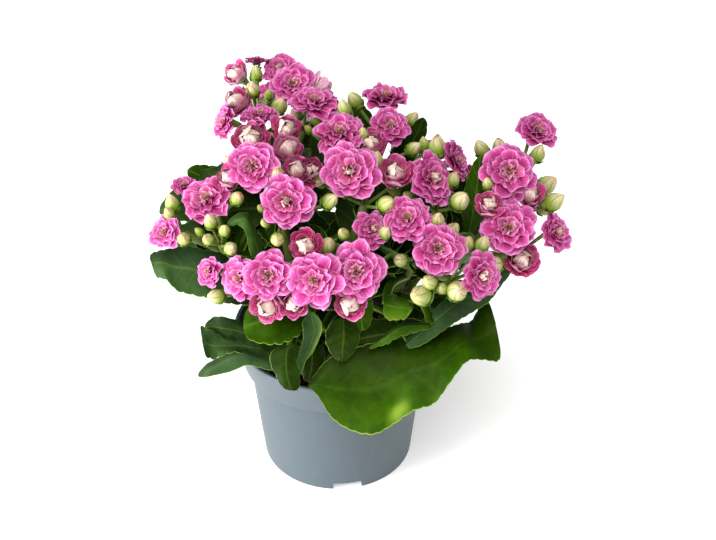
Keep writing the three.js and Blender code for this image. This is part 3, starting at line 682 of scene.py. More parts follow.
# Leaves with a shape of their own: points of two edges from the stalk to the tip, and the side they show.
# A leaf gives only what differs from this: bulge and wave bend it, blunt fills out its tip, toothed scales its
# teeth, spot is a bleached patch at a share of its length and of its width, and lines is how pale its veins are
edgedLeafSettings = dict(
    thickness=1.3, toothSpacing=4.8, toothDepth=0.9, around=32, rowsPerTooth=6, stalkRadii=(2.6, 2.3, 1.8),
    stalkFaces=(12, 14), bulge=2, wave=0.7, blunt=8, toothed=0.6, lines=0.1, spot=None, spotReach=(0.055, 0.13),
    spotStrength=1.1, greatLength=90,
)


def addEdgedLeaf(bm, leaf, chance):
    s = {**edgedLeafSettings, **leaf}
    upper, lower = ([Vector(point) for point in s[edge]] for edge in ("upper", "lower"))
    outward = Vector(s["face"]).normalized()
    length = sum((b - a).length for a, b in zip(lower, lower[1:]))
    teeth = max(5, round(length / s["toothSpacing"]))
    phase = chance.uniform(0, 6)
    # look holds a brightness that is partly painted shade and light, and the share of painted grey sheen
    (brightness, grey), spot, reach = s["look"], s["spot"], s["spotReach"]

    def shape(u, v):
        angle = 2 * math.pi * u
        across = -math.cos(angle)
        top, bottom = curvePoint(upper, v), curvePoint(lower, v)
        tooth = 1 - abs(math.sin(math.pi * teeth * v)) ** 0.7
        notch = 2 * s["toothDepth"] * s["toothed"] / max(6, (bottom - top).length) * tooth
        # the tip is broader than the end at the stalk
        ends = math.sqrt(max(0, 1 - abs(2 * v - 1) ** (s["blunt"] if v > 0.5 else 8)))
        down = 0.5 + 0.5 * across * (1 - notch) * ends
        swell = s["bulge"] * math.sin(math.pi * down) * math.sin(math.pi * (v * 12 + 1) / 14)
        swell += s["wave"] * math.sin(11 * v + 2 * across + phase) * across * across
        thick = s["thickness"] * 0.5 * (1 - 0.4 * abs(across)) * ends
        flat = math.copysign(abs(math.sin(angle)) ** 0.6, math.sin(angle)) * thick
        return top.lerp(bottom, down) + outward * (swell + flat)

    def tint(u, v):
        # painted shade and light: darker towards the upper edge, which lies in shade, brighter towards the
        # lower edge
        down = 0.5 - 0.5 * math.cos(2 * math.pi * u)
        value = brightness * (0.2 + 1.15 * down)
        if spot:
            near = ((v - spot[0]) / reach[0]) ** 2 + ((down - spot[1]) / reach[1]) ** 2
            value += s["spotStrength"] * math.exp(-near)
        return value

    around = s["around"] * (2 if length > s["greatLength"] else 1)
    addSheet(bm, around, teeth * s["rowsPerTooth"], shape, (tint, grey, farFace, s["lines"]), closed=True)
    addTube(bm, [Vector(point) for point in s["stalk"]], s["stalkRadii"], *s["stalkFaces"])


def stemAt(shoot, height):
    foot = Vector((*shoot["foot"], stemSettings["footHeight"]))
    knee, crown = Vector(shoot["knee"]), Vector(shoot["crown"])
    low, high = (foot, knee) if height < knee.z else (knee, crown)
    return low.lerp(high, min(0.98, max(0, (height - low.z) / (high.z - low.z))))


def addCanopy(bm, shoot, chance):
    s = leafSettings
    # the leaves grow wherever they stay clear of the flowers and buds
    blossoms = [(Vector(f[:3]), 0.5 * f[5] + 3) for one in shoots for f in one["open"] + one["halfOpen"]]
    blossoms += [(Vector(b[:3]), 0.5 * b[3] + 2.5) for one in shoots for b in one["buds"]]
    crown, grown = Vector(shoot["crown"]), 0
    for attempt in range(s["canopyTries"]):
        turn = chance.uniform(0, 2 * math.pi)
        level = Vector((math.cos(turn), math.sin(turn), 0))
        root = stemAt(shoot, crown.z - chance.uniform(*s["canopyRoot"]))
        reach, rise = chance.uniform(*s["canopyReach"]), chance.uniform(*s["canopyRise"])
        tip = crown + level * reach + Vector((0, 0, rise))
        bend = root.lerp(tip, 0.5) + level * s["canopyBow"] + Vector((0, 0, chance.uniform(*s["canopyArch"])))
        wide = chance.uniform(*s["canopyWidth"])
        tests = [bowAt(root, bend, tip, t) for t in (0.4, 0.6, 0.8, 1)]
        gap = s["flowerClearance"]
        if any((spot - place).length < reach + gap for spot in tests for place, reach in blossoms):
            continue
        if any(ellipseShare(spot, s["canopyMiddle"], s["canopyHalf"]) > s["canopyShare"] for spot in tests):
            continue
        addLeaf(bm, root, bend, tip, wide, -level + Vector((0, 0, 1)), (chance.uniform(0.1, 0.5), 0.1), chance)
        grown += 1
        if grown == s["canopyLeaves"]:
            break


def addFillers(bm, shoot, chance):
    s = leafSettings
    heading = chance.uniform(0, math.pi)
    for pair in range(s["fillerPairs"]):
        root = stemAt(shoot, s["fillerFirst"] + pair * s["fillerStep"])
        heading += math.pi / 2 + chance.uniform(-0.3, 0.3)
        for turn in (heading, heading + math.pi):
            span = chance.uniform(*s["fillerSpan"])
            level = Vector((math.cos(turn), math.sin(turn), 0))
            tip = root + level * span + Vector((0, 0, chance.uniform(*s["fillerRise"])))
            # those that would come out of the mass of leaves are left off
            outside = ellipseShare(tip, s["fillerMiddle"], s["fillerHalf"]) > 1
            if outside or Vector((tip.x, tip.y)).length > s["fillerReach"]:
                continue
            bend = root + level * span * 0.55 + Vector((0, 0, chance.uniform(*s["fillerArch"])))
            wide, face = chance.uniform(*s["fillerWidth"]), -level + Vector((0, 0, 1.4))
            addLeaf(bm, root, bend, tip, wide, face, (chance.uniform(0, 0.4), chance.uniform(0, 0.3)), chance)


def addLeaves(bm, shoot, chance):
    for height, bend, tip, wide, face, look in shoot["leaves"]:
        addLeaf(bm, stemAt(shoot, height), Vector(bend), Vector(tip), wide, face, look, chance)
    for leaf in shoot["edgedLeaves"]:
        addEdgedLeaf(bm, leaf, chance)
    addCanopy(bm, shoot, chance)
    addFillers(bm, shoot, chance)


potSettings = dict(
    steps=144, footRadius=38.8, bodyTopRadius=44.9, bandFootRadius=48.3, bandFootHeight=60, rimRadius=52.5,
    rimHeight=78, wall=1.5, floorUnderside=5, floorThickness=1.6, footRingWidth=3.2, notches=3, notchWidth=15,
    notchHeight=4.5, notchDepth=12, firstNotch=8, holeRadius=4, holeDistance=24, drillHeight=6, drillDepth=8,
    sharpAngle=35,
)


def makePot():
    p = potSettings
    foot, body, band, rim = p["footRadius"], p["bodyTopRadius"], p["bandFootRadius"], p["rimRadius"]
    under, shelf, top, wall = p["floorUnderside"], p["bandFootHeight"], p["rimHeight"], p["wall"]
    floorTop, ring = under + p["floorThickness"], foot - p["footRingWidth"]
    inside = foot + (body - foot) * floorTop / shelf - wall
    # underside, foot ring, outside with its groove and rim band, rim, inside. The small steps round the edges
    profile = [
        (0, under), (ring - 0.5, under), (ring, under - 0.5), (ring, 0.3), (ring + 0.3, 0),
        (foot - 0.4, 0), (foot + 0.05, 0.4),
        (body - 0.08, shelf - 2.2), (body - 0.6, shelf - 1.7), (body - 0.5, shelf - 0.7),
        (band - 0.5, shelf - 0.1), (band - 0.1, shelf + 0.2), (band + 0.15, shelf + 0.9),
        (rim - 0.6, top - 2), (rim - 0.05, top - 1.2), (rim, top - 0.7), (rim - 0.4, top - 0.1),
        (rim - 0.9, top), (rim - wall - 0.5, top - 0.3), (band - wall, shelf + 1),
        (band - wall - 0.8, shelf + 0.2), (body - wall, shelf - 1), (inside, floorTop + 0.6),
        (inside - 0.8, floorTop), (0, floorTop),
    ]
    bm = bmesh.new()
    verts = [bm.verts.new((radius, 0, height)) for radius, height in profile]
    edges = [bm.edges.new(pair) for pair in zip(verts, verts[1:])]
    bmesh.ops.spin(bm, geom=verts + edges, cent=(0, 0, 0), axis=(0, 0, 1), angle=2 * math.pi,
                   steps=p["steps"], use_merge=True, use_duplicate=False)
    bmesh.ops.remove_doubles(bm, verts=bm.verts, dist=0.001)
    bmesh.ops.recalc_face_normals(bm, faces=bm.faces)
    shell = meshFrom(bm, "potShell")
    pot = addObject("potShell", shell)
    # three notches let water out under the foot ring, with a drain hole in line with each
    cutters = bmesh.new()
    for k in range(p["notches"]):
        turn = Matrix.Rotation(math.radians(p["firstNotch"] + 120 * k - 90), 4, "Z")
        size = Matrix.Diagonal((p["notchDepth"], p["notchWidth"], 2 * p["notchHeight"], 1))
        bmesh.ops.create_cube(cutters, size=1, matrix=turn @ Matrix.Translation((foot, 0, 0)) @ size)
        hole = turn @ Matrix.Translation((p["holeDistance"], 0, p["drillHeight"]))
        bmesh.ops.create_cone(cutters, cap_ends=True, segments=32, radius1=p["holeRadius"],
                              radius2=p["holeRadius"], depth=p["drillDepth"], matrix=hole)
    cutterMesh = meshFrom(cutters, "potCutters")
    cutter = addObject("potCutters", cutterMesh)
    cut = pot.modifiers.new("cut", "BOOLEAN")
    cut.operation, cut.object, cut.solver = "DIFFERENCE", cutter, "EXACT"
    bpy.context.view_layer.update()
    bm = bmesh.new()
    bm.from_object(pot, bpy.context.evaluated_depsgraph_get())
    for thing, data in ((pot, shell), (cutter, cutterMesh)):
        bpy.data.objects.remove(thing)
        bpy.data.meshes.remove(data)
    for face in bm.faces:
        face.smooth = True
    finishPiece(bm, "pot_shell", ["pot"], ["pot"], sharpAngle=p["sharpAngle"])


# Compost: its profile runs from the crown over the edge, down inside the pot and back under. Grit and bark are
# scattered on it: how many, material, smallest and largest size, thickness as a share of the size
soilSettings = dict(
    crown=68, edge=66, edgeRadius=46.9, crumb=0.9, crumbScale=0.22, around=96, rings=44,
    profile=[(24, 67.6), (46.9, 66), (45.6, 61.8), (42.6, 58), (40, 30), (0, 30)],
    scatter=[(150, 1, 0.5, 1.2, 0.8), (70, 2, 0.8, 2.4, 0.45)], scatterRadius=45, sunk=0.1, roughness=0.12,
)


def makeSoil(chance):
    s = soilSettings
    profile = [Vector((radius, 0, height)) for radius, height in [(0, s["crown"]), *s["profile"]]]
    steps = len(profile) - 1
    bm = newShape()

    def shape(u, v):
        k = min(int(v * steps), steps - 1)
        spot = profile[k].lerp(profile[k + 1], v * steps - k)
        angle = 2 * math.pi * u
        place = Vector((spot.x * math.cos(angle), spot.x * math.sin(angle), spot.z))
        # crumbs on the top, which is the first two stretches of the profile
        if v < 1 / 3:
            lump = noise.fractal(place * s["crumbScale"], 0.7, 2.1, 4) * s["crumb"]
            place.z += min(lump, s["crumb"]) * min(1, spot.x / 3)
        return place

    addSheet(bm, s["around"], s["rings"] * 3, shape, closed=True)
    for count, skin, low, high, squash in s["scatter"]:
        for k in range(count):
            radius, turn = s["scatterRadius"] * math.sqrt(chance.random()), chance.uniform(0, 2 * math.pi)
            size = chance.uniform(low, high)
            level = s["crown"] - (s["crown"] - s["edge"]) * (radius / s["edgeRadius"]) ** 2 - s["sunk"]
            place = Matrix.Translation((radius * math.cos(turn), radius * math.sin(turn), level))
            angle, axle = chance.uniform(0, 6), Vector((chance.random(), chance.random(), 1)).normalized()
            where = place @ Matrix.Rotation(angle, 4, axle) @ Matrix.Diagonal((1, 0.8, squash, 1))
            made = bmesh.ops.create_icosphere(bm, subdivisions=1, radius=size, matrix=where)["verts"]
            for vert in made:
                shift = Vector([chance.uniform(-1, 1) for axis in "xyz"])
                vert.co += shift * size * s["roughness"]
            for face in {face for vert in made for face in vert.link_faces}:
                face.material_index = skin
    finishPiece(bm, "soil_crumbs", ["peat", "grit", "bark"], ["soil"])


makePot()
makeSoil(random.Random(5))
print("pot and soil made")

# The seven shoots, front ones first, as in the part. Places are in mm from the foot of the pot's axis.
# Flowers are (x, y, z, turn, rise, size), buds (x, y, z, length) and leaves (height on the stem, bend, tip,
# width, the side they show, (brightness, greyness)). A leaf's brightness is partly painted shade and light: it
# is set low on leaves in shade and high on backlit ones, and its greyness is a painted sheen. The stem runs
# from the foot past the knee to the crown
frontShoot = dict(
    name="front", foot=(4, -6), knee=(6, -10, 104), crown=(8, -20, 140),
    forks=[(14, -18, 164), (2, -42, 138), (14, -32, 148)],
    open=[(7, -22, 184, -5, 42, 27), (-9, -61, 151, -15, 30, 25), (10, -57, 153, 0, 35, 26),
          (17, -41, 165, 40, 40, 17)],
    halfOpen=[(28, -19, 182, 10, 65, 15), (7, -62, 138, 0, 15, 14)],
    buds=[(-7, -14, 174, 7), (4, -16, 169, 6), (19, -9, 181, 10), (4, -43, 164, 7), (17, -56, 142, 7),
          (23, -42, 164, 8), (24, -32, 173, 10)],
    leaves=[
        (120, (11, -40, 124), (13, -46, 110), 14, (0, -0.8, 0.6), (0.6, 0)),
    ],
    edgedLeaves=[
        dict(upper=[(-14, -53, 83), (-9, -50, 90), (-3, -47, 95), (6, -44, 97), (16, -40, 98), (26, -37, 98),
                    (36, -34, 99), (46, -32, 100), (54, -30, 100), (61, -28, 101), (66, -26, 101),
                    (70, -24, 109), (74, -22, 112)],
             lower=[(-13, -55, 82), (-8, -58, 77), (-2, -61, 68), (7, -64, 63), (18, -67, 63), (27, -66, 68),
                    (37, -66, 77), (47, -64, 80), (54, -61, 90), (62, -56, 99), (70, -52, 97), (78, -48, 93),
                    (80, -44, 96)],
             face=(0.1, -0.7, 0.7), bulge=4, wave=1.1, blunt=34, look=(0.5, 0), spot=(0.44, 0.88), lines=0.03,
             stalk=[(5, -8, 90), (8, -24, 98), (14, -38, 96)]),
        dict(upper=[(-17, -42, 100), (-18, -45, 94), (-17, -49, 88), (-15, -52, 84)],
             lower=[(-6, -40, 97), (-5, -43, 93), (-7, -47, 87), (-12, -50, 81)],
             face=(0.1, -0.8, 0.6), look=(0.1, 0), stalk=[(4, -10, 92), (-2, -26, 104), (-6, -40, 106)]),
        dict(upper=[(30, -34, 107), (20, -35, 109), (11, -35, 108), (3, -36, 105)],
             lower=[(32, -38, 94), (21, -39, 91), (11, -41, 89), (4, -42, 94)],
             face=(0, -0.7, 0.7), look=(0.1, 0), stalk=[(7, -12, 100), (18, -24, 108), (30, -34, 108)]),
        dict(upper=[(-1, -44, 116), (-4, -46, 112), (-5, -49, 108), (-4, -51, 104), (-1, -52, 99),
                    (1, -54, 98)],
             lower=[(8, -42, 116), (11, -44, 112), (12, -47, 108), (10, -49, 102), (7, -51, 98),
                    (5, -53, 97)],
             face=(0.1, -0.8, 0.6), bulge=3, blunt=10, look=(0.3, 0),
             stalk=[(6, -12, 106), (5, -30, 116), (4, -43, 115)]),
    ],
)
frontRightShoot = dict(
    name="front_right", foot=(20, -6), knee=(26, -10, 100), crown=(38, -20, 132),
    forks=[(48, -14, 158), (40, -32, 146), (54, -40, 136)],
    open=[(45, -19, 178, 50, 40, 25), (33, -38, 169, 0, 55, 22), (47, -48, 159, 5, 45, 25),
          (57, -7, 181, 75, 30, 19), (67, -52, 147, 35, 25, 21)],
    halfOpen=[],
    buds=[(34, -18, 168, 6), (27, -10, 166, 7), (54, -36, 161, 9), (48, 0, 184, 11), (42, 7, 181, 7),
          (55, -16, 176, 8), (30, -47, 152, 8), (47, -37, 167, 9), (58, -26, 171, 11), (61, -41, 157, 8),
          (68, -40, 156, 9), (43, -57, 147, 9), (39, -59, 141, 12), (49, -55, 142, 7), (56, -57, 142, 12)],
    leaves=[],
    edgedLeaves=[
        dict(upper=[(23, -44, 129), (27, -45, 131), (31, -46, 130), (34, -47, 129), (37, -48, 127)],
             lower=[(22, -52, 125), (25, -52, 121), (29, -52, 121), (33, -52, 122), (36, -52, 127)],
             face=(0, -0.6, 0.8), look=(1, 0), stalk=[(34, -16, 120), (26, -34, 128), (24, -47, 127)]),
        dict(upper=[(45, -42, 112), (39, -43, 113), (33, -43, 113), (28, -44, 111), (24, -45, 108),
                    (20, -45, 104), (16, -46, 101)],
             lower=[(46, -46, 111), (40, -47, 110), (34, -48, 109), (29, -49, 108), (25, -49, 104),
                    (21, -48, 102), (16, -48, 100)],
             face=(0, -0.5, 0.85), look=(0.6, 0.1), stalk=[(30, -13, 106), (42, -30, 114), (45, -43, 112)]),
        dict(upper=[(33, -40, 100), (40, -38, 109), (48, -37, 118), (55, -33, 122), (63, -29, 124),
                    (71, -25, 128), (78, -23, 133), (84, -20, 135)],
             lower=[(35, -46, 97), (43, -45, 101), (51, -44, 108), (58, -41, 112), (66, -35, 113),
                    (74, -31, 116), (80, -27, 123), (87, -24, 132)],
             face=(-0.3, -0.6, 0.7), bulge=2.5, blunt=10, toothed=0.35, look=(0.35, 1),
             stalk=[(28, -11, 98), (32, -28, 98), (36, -42, 100)]),
    ],
)
frontLeftShoot = dict(
    name="front_left", foot=(-12, -10), knee=(-15, -15, 98), crown=(-21, -24, 132),
    forks=[(-25, -20, 160), (-44, -34, 128), (-24, -42, 130), (-10, -36, 144)],
    open=[(-38, -16, 183, -10, 45, 23), (-22, -34, 175, -5, 40, 25), (-59, -38, 139, -45, 30, 15),
          (-44, -46, 141, -35, 30, 21), (-30, -55, 149, -5, 35, 23)],
    halfOpen=[(-18, -16, 181, 0, 65, 13), (-11, -14, 179, 20, 30, 12), (-13, -48, 161, -10, 50, 14),
              (-31, -58, 134, -10, 0, 15), (-19, -59, 136, 10, 15, 12)],
    buds=[(-32, -34, 164, 6), (-34, -28, 168, 5), (-26, -21, 182, 8), (-26, -45, 162, 8), (-2, -31, 174, 9),
          (-56, -44, 129, 9), (-3, -46, 160, 9)],
    leaves=[
        (106, (-24, -44, 118), (-44, -41, 108), 30, (0.1, -0.5, 0.86), (0.8, 0)),
    ],
    edgedLeaves=[
        dict(upper=[(-27, -48, 102), (-31, -50, 100), (-31, -53, 95), (-29, -55, 91), (-26, -58, 86),
                    (-22, -60, 85)],
             lower=[(-17, -46, 103), (-16, -48, 98), (-16, -51, 92), (-17, -53, 88), (-17, -56, 85),
                    (-18, -59, 84)],
             face=(0, -0.8, 0.5), bulge=3, blunt=12, look=(0.3, 0.1),
             stalk=[(-14, -14, 92), (-18, -32, 104), (-21, -46, 101)]),
        dict(upper=[(-17, -38, 102), (-24, -39, 101), (-31, -39, 100), (-38, -40, 98)],
             lower=[(-16, -43, 86), (-24, -44, 85), (-31, -44, 85), (-38, -45, 88)],
             face=(0, -0.7, 0.7), look=(0.15, 0), stalk=[(-13, -12, 88), (-15, -26, 98), (-17, -40, 98)]),
        dict(upper=[(-13, -50, 124), (-15, -51, 120), (-15, -53, 115), (-16, -54, 109), (-17, -55, 104),
                    (-18, -57, 99), (-17, -58, 95)],
             lower=[(-10, -50, 125), (-7, -51, 120), (-6, -51, 114), (-8, -52, 108), (-11, -54, 103),
                    (-14, -55, 99), (-15, -57, 95)],
             face=(-0.5, -0.8, 0.3), bulge=-2.5, toothed=0.3, look=(1, 1),
             stalk=[(-16, -17, 112), (-12, -34, 124), (-11, -49, 123)]),
        dict(upper=[(-31, -34, 149), (-35, -33, 156), (-38, -32, 163), (-40, -32, 168), (-45, -31, 167),
                    (-50, -30, 162)],
             lower=[(-39, -40, 146), (-40, -38, 154), (-41, -37, 160), (-44, -35, 163), (-47, -34, 162),
                    (-50, -32, 160)],
             face=(0.3, -0.8, 0.5), toothed=0.3, look=(0.6, 0.5),
             stalk=[(-20, -22, 128), (-28, -30, 138), (-35, -36, 149)]),
    ],
)
leftShoot = dict(
    name="left", foot=(-24, -2), knee=(-33, -6, 100), crown=(-52, -12, 130),
    forks=[(-72, -12, 142), (-56, -10, 154), (-54, -24, 146)],
    open=[(-60, -16, 165, -30, 60, 25), (-81, -17, 147, -35, 40, 17), (-72, -4, 165, -30, 85, 13)],
    halfOpen=[(-50, -12, 174, -20, 60, 12)],
    buds=[(-64, -24, 152, 5), (-78, -6, 156, 9), (-79, -12, 154, 7), (-71, -27, 150, 8), (-58, -27, 160, 8),
          (-59, -33, 154, 7), (-51, -33, 159, 7), (-48, -39, 153, 8), (-45, -24, 171, 8)],
    leaves=[],
    edgedLeaves=[
        dict(upper=[(-59, -2, 142), (-65, -2, 144), (-71, -2, 143), (-77, -2, 140), (-82, -2, 134)],
             lower=[(-58, -10, 133), (-64, -10, 131), (-71, -9, 130), (-77, -8, 131), (-81, -8, 134)],
             face=(-0.1, -0.7, 0.7), look=(0.3, 0.5), stalk=[(-44, -9, 120), (-50, -8, 128), (-56, -6, 134)]),
        dict(upper=[(-35, 2, 158), (-44, 2, 160), (-52, 2, 158), (-60, 2, 153), (-66, 2, 146)],
             lower=[(-35, -8, 144), (-44, -7, 140), (-52, -6, 138), (-60, -5, 139), (-65, -4, 143)],
             face=(0, -0.7, 0.7), look=(0.15, 0.1), stalk=[(-48, -10, 126), (-42, -6, 140), (-36, -3, 150)]),
        dict(upper=[(-47, -20, 132), (-54, -19, 137), (-62, -19, 138), (-69, -18, 139), (-76, -18, 139),
                    (-83, -18, 138), (-87, -18, 136), (-89, -18, 134)],
             lower=[(-45, -38, 122), (-54, -37, 121), (-62, -37, 123), (-69, -36, 124), (-75, -35, 125),
                    (-80, -33, 130), (-85, -30, 130), (-87, -28, 134)],
             face=(-0.1, -0.6, 0.8), bulge=3.5, wave=1.3, blunt=14, look=(0.45, 0.9),
             stalk=[(-34, -6, 106), (-38, -18, 122), (-46, -28, 128)]),
        dict(upper=[(-20, -38, 99), (-27, -38, 100), (-34, -38, 102), (-40, -38, 102), (-47, -37, 100),
                    (-54, -36, 99), (-60, -35, 101), (-66, -34, 105)],
             lower=[(-19, -46, 97), (-26, -47, 93), (-33, -47, 92), (-40, -48, 94), (-47, -47, 97),
                    (-53, -46, 96), (-59, -45, 92), (-63, -44, 92)],
             face=(0, -0.5, 0.85), toothed=1, bulge=-2, wave=1.9, blunt=40, look=(0.3, 0.6),
             stalk=[(-28, -4, 84), (-24, -24, 98), (-22, -42, 98)]),
        dict(upper=[(-36, -32, 101), (-43, -32, 103), (-48, -31, 105), (-55, -31, 107), (-60, -30, 106),
                    (-64, -30, 102)],
             lower=[(-36, -38, 96), (-41, -37, 94), (-47, -36, 94), (-53, -36, 95), (-58, -35, 97),
                    (-63, -34, 100)],
             face=(0, -0.6, 0.8), bulge=1.5, toothed=0.4, look=(0.15, 0.5),
             stalk=[(-29, -4, 90), (-30, -20, 102), (-36, -35, 101)]),
        dict(upper=[(-27, -46, 93), (-33, -45, 94), (-39, -45, 96), (-44, -44, 97), (-51, -43, 95),
                    (-57, -42, 90), (-63, -41, 86), (-67, -40, 81)],
             lower=[(-26, -51, 89), (-32, -51, 90), (-38, -50, 91), (-43, -50, 92), (-50, -49, 88),
                    (-56, -48, 85), (-62, -47, 82), (-67, -46, 80)],
             face=(-0.2, -0.5, 0.85), bulge=2.5, toothed=0.1, look=(0.45, 1), lines=0.02,
             stalk=[(-27, -3, 76), (-26, -26, 92), (-28, -48, 91)]),
        dict(upper=[(-48, 10, 167), (-53, 10, 169), (-59, 9, 167), (-64, 8, 166), (-69, 8, 164)],
             lower=[(-48, 2, 158), (-53, 2, 157), (-60, 3, 157), (-64, 4, 157), (-68, 4, 159)],
             face=(0, -0.8, 0.6), look=(0.5, 0.3), stalk=[(-50, -10, 128), (-44, 2, 150), (-49, 6, 162)]),
        dict(upper=[(-66, 6, 158), (-71, 6, 161), (-77, 5, 159), (-82, 4, 153), (-86, 4, 147)],
             lower=[(-63, -4, 144), (-70, -3, 143), (-75, -2, 143), (-80, -1, 144), (-85, 0, 145)],
             face=(-0.3, -0.8, 0.5), look=(0.5, 0.4), stalk=[(-51, -11, 129), (-56, 0, 148), (-66, 1, 151)]),
    ],
)
rightShoot = dict(
    name="right", foot=(27, 8), knee=(38, 6, 102), crown=(64, -4, 130),
    forks=[(86, 6, 154), (78, -10, 152), (84, -24, 138)],
    open=[(97, 18, 182, 50, 60, 21), (81, -14, 179, 5, 40, 27), (80, -34, 161, -5, 50, 26),
          (104, -23, 151, 55, 35, 19)],
    halfOpen=[(71, -29, 171, 0, 60, 12), (91, -15, 167, 10, 65, 14), (87, -38, 146, 20, 55, 15)],
    buds=[(71, -18, 175, 7), (97, 10, 174, 9), (100, -8, 154, 8), (101, -3, 165, 11), (74, -43, 147, 9),
          (69, 5, 180, 9), (78, 8, 179, 9), (103, -15, 163, 11)],
    leaves=[
        (134, (66, -14, 158), (68, -4, 181), 12, (0, -0.9, 0.2), (0.75, 0.1)),
        (98, (56, 22, 118), (72, 18, 100), 34, (0.2, 0.1, 0.97), (0.3, 0.2)),
        (82, (56, 2, 102), (66, 0, 86), 30, (0.3, -0.2, 0.9), (0.3, 0.2)),
    ],
    edgedLeaves=[],
)
backLeftShoot = dict(
    name="back_left", foot=(-16, 14), knee=(-19, 18, 110), crown=(-28, 22, 148),
    forks=[(-38, 40, 174), (-16, 36, 172), (-44, 18, 168), (-24, 8, 168)],
    open=[(-39, 54, 200, 180, 60, 12), (-21, 35, 198, 10, 50, 21), (-28, 52, 197, -20, 60, 18),
          (-10, 23, 195, 0, 88, 24), (-53, 16, 188, -65, 25, 17), (-36, 16, 192, -10, 85, 16),
          (-30, 72, 174, 190, 40, 22), (-42, 60, 170, 215, 35, 19), (-56, 38, 148, 250, 30, 17)],
    halfOpen=[(-49, 45, 198, -60, 50, 12), (-6, 40, 194, 120, 20, 13), (-48, 27, 193, -50, 50, 14),
              (-40, 4, 186, -10, 60, 17), (-23, 6, 190, 0, 65, 14), (-22, -5, 186, 0, 75, 14)],
    buds=[(-27, 30, 189, 10), (-19, 24, 188, 8), (-36, 34, 187, 6), (-33, 42, 188, 6), (-39, 45, 198, 8),
          (-40, 30, 198, 9), (-49, -3, 178, 8)],
    leaves=[
        (140, (-52, 10, 152), (-71, 5, 168), 17, (0, -0.7, 0.7), (0.7, 0.1)),
        (92, (-46, 34, 116), (-64, 44, 90), 36, (-0.4, 0.3, 0.85), (0.3, 0.3)),
        (104, (-28, 52, 128), (-38, 72, 98), 38, (-0.2, 0.5, 0.84), (0.35, 0.3)),
        (80, (-46, 10, 98), (-62, 14, 84), 30, (-0.3, 0.1, 0.95), (0.2, 0.2)),
    ],
    edgedLeaves=[],
)
backShoot = dict(
    name="back", foot=(8, 18), knee=(12, 20, 108), crown=(16, 22, 148),
    forks=[(24, 28, 172), (12, 8, 168), (8, 46, 150), (48, 30, 142)],
    open=[(24, 31, 193, 10, 88, 23), (26, 11, 189, 10, 55, 19), (2, 4, 189, -10, 75, 25),
          (-4, 64, 166, 180, 45, 24), (20, 60, 160, 175, 40, 23), (42, 50, 153, 160, 40, 22),
          (64, 34, 149, 140, 40, 21), (84, 24, 162, 130, 40, 18), (8, 74, 146, 178, 15, 20)],
    halfOpen=[(17, 0, 186, 0, 60, 13), (-18, 78, 152, 190, 20, 14), (34, 66, 142, 170, 15, 14)],
    buds=[(-13, 14, 185, 5), (13, 4, 188, 8), (4, 18, 194, 9), (9, 28, 193, 9), (-9, 15, 190, 7),
          (37, 24, 185, 8), (37, 0, 183, 8), (50, 46, 138, 8), (22, 76, 136, 8)],
    leaves=[
        (150, (36, 18, 168), (42, 22, 187), 13, (0.3, -0.9, 0.1), (0.3, 0.1)),
        (90, (14, 52, 114), (14, 74, 86), 40, (0, 0.5, 0.86), (0.4, 0.3)),
        (104, (42, 44, 124), (58, 56, 94), 36, (0.3, 0.4, 0.86), (0.35, 0.3)),
        (80, (36, 42, 96), (44, 50, 76), 26, (0.4, 0.4, 0.8), (0.25, 0.2)),
    ],
    edgedLeaves=[],
)
shoots = [frontShoot, frontRightShoot, frontLeftShoot, leftShoot, rightShoot, backLeftShoot, backShoot]


def nodesOf(shoot, kind):
    # a shoot's blooms are numbered nodes, so front is told from front_left
    stem = f"{kind}_{shoot['name']}"
    if kind == "shoot":
        return [stem]
    return [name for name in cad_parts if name.startswith(stem + "_") and name[len(stem) + 1:].isdigit()]


for number, shoot in enumerate(shoots):
    chance = random.Random(20 + number)
    leafy = newShape()
    addLeaves(leafy, shoot, chance)
    finishPiece(leafy, f"leaves_{shoot['name']}", ["leaf"], nodesOf(shoot, "shoot"))
    stems = newShape()
    addStems(stems, shoot, chance)
    finishPiece(stems, f"stems_{shoot['name']}", ["stem", "bud"], nodesOf(shoot, "shoot"))
    petals = newShape()
    for flower in shoot["open"]:
        addFlower(petals, flower, flowerSettings["openWhorls"], chance, True)
    for flower in shoot["halfOpen"]:
        addFlower(petals, flower, flowerSettings["halfOpenWhorls"], chance, False)
    finishPiece(petals, f"petals_{shoot['name']}", ["petal", "styles"], nodesOf(shoot, "blooms"))
print("shoots made")

# Studio: pale floor that glows a little, a soft light from above, a broad soft light from the left front, and
# room light that falls off towards the right front
studioSettings = dict(
    floorColour="#FDFDFC", skyBright=(-0.45, 0.5, 0.75), skyStrengths=(0.03, 0.4), floorGlow=0.4,
    floorHalfWidth=6, sunStrength=2.4, sunAngle=42, sunRise=60, sunHeading=-9,
    keyPlace=(-620, -330, 200), keyAim=(0, 0, 100), keySize=0.4, keyPower=7,
)

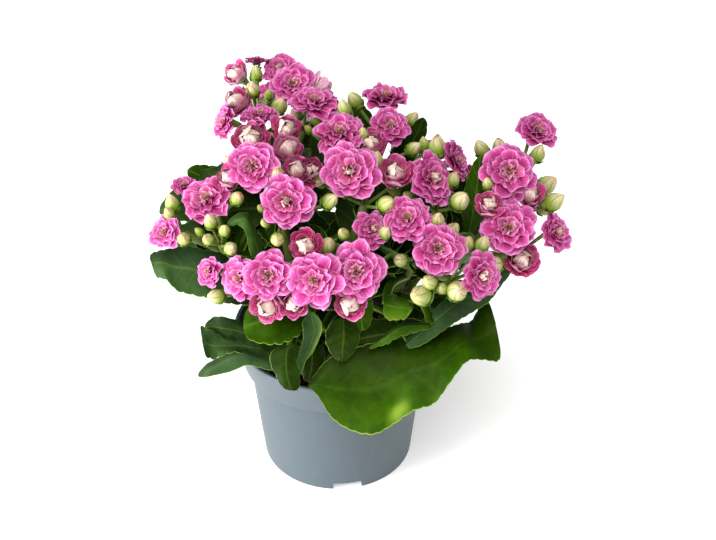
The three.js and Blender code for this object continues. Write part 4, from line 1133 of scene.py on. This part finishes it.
floorMaterial, node = newMaterial("paleFloor")
floorShader = node("BsdfPrincipled", {
    "Base Color": studioSettings["floorColour"], "Roughness": 0.9, "Emission Color": "#FFFFFF",
    "Emission Strength": studioSettings["floorGlow"],
})
node("OutputMaterial", [floorShader])
floorShape = bmesh.new()
bmesh.ops.create_grid(floorShape, x_segments=2, y_segments=2, size=studioSettings["floorHalfWidth"])
floorMesh = meshFrom(floorShape, "studio_floor")
floorMesh.materials.append(floorMaterial)
floor = addObject("studio_floor", floorMesh)

world = bpy.data.worlds.new("studio")
bpy.context.scene.world = world
world.use_nodes = True
world.node_tree.nodes.clear()
# the room is bright behind and above on the left and falls off towards the right front
node = partial(addNode, world.node_tree)
towards = Vector(studioSettings["skyBright"]).normalized()
heading = node("TexCoord", give="Generated")
slope = node("VectorMath", [heading, towards], give="Value", operation="DOT_PRODUCT")
strength = node("MapRange", [slope, -1, 1, *studioSettings["skyStrengths"]])
node("OutputWorld", [node("Background", {"Color": "#FFFFFF", "Strength": strength})])

sunData = bpy.data.lights.new("soft_top", "SUN")
sunData.energy, sunData.angle = studioSettings["sunStrength"], math.radians(studioSettings["sunAngle"])
sun = addObject("soft_top", sunData)
sunFrom = facing(studioSettings["sunHeading"], studioSettings["sunRise"])
sun.rotation_euler = sunFrom.to_track_quat("Z", "Y").to_euler()

keyData = bpy.data.lights.new("key", "AREA")
keyData.energy, keyData.size = studioSettings["keyPower"], studioSettings["keySize"]
key = addObject("key", keyData)
key.location = toFrame @ Vector(studioSettings["keyPlace"])
keyAim = toFrame @ Vector(studioSettings["keyAim"]) - key.location
key.rotation_euler = keyAim.to_track_quat("-Z", "Y").to_euler()

# Camera as the photograph was taken: from in front, looking down 36 degrees
cameraSettings = dict(target=(10.7, 0, 112.3), distance=790, pitch=36, lens=80, sensor=36, clip=(0.01, 50))
pitch = math.radians(cameraSettings["pitch"])
target = Vector(cameraSettings["target"])
eye = target + Vector((0, -math.cos(pitch), math.sin(pitch))) * cameraSettings["distance"]
cameraData = bpy.data.cameras.new("camera")
cameraData.lens, cameraData.sensor_width = cameraSettings["lens"], cameraSettings["sensor"]
cameraData.clip_start, cameraData.clip_end = cameraSettings["clip"]
camera = addObject("camera", cameraData)
camera.location = toFrame @ eye
camera.rotation_euler = (target - eye).to_track_quat("-Z", "Y").to_euler()
bpy.context.scene.camera = camera
bpy.context.scene.view_settings.view_transform = "Standard"
print("studio made")
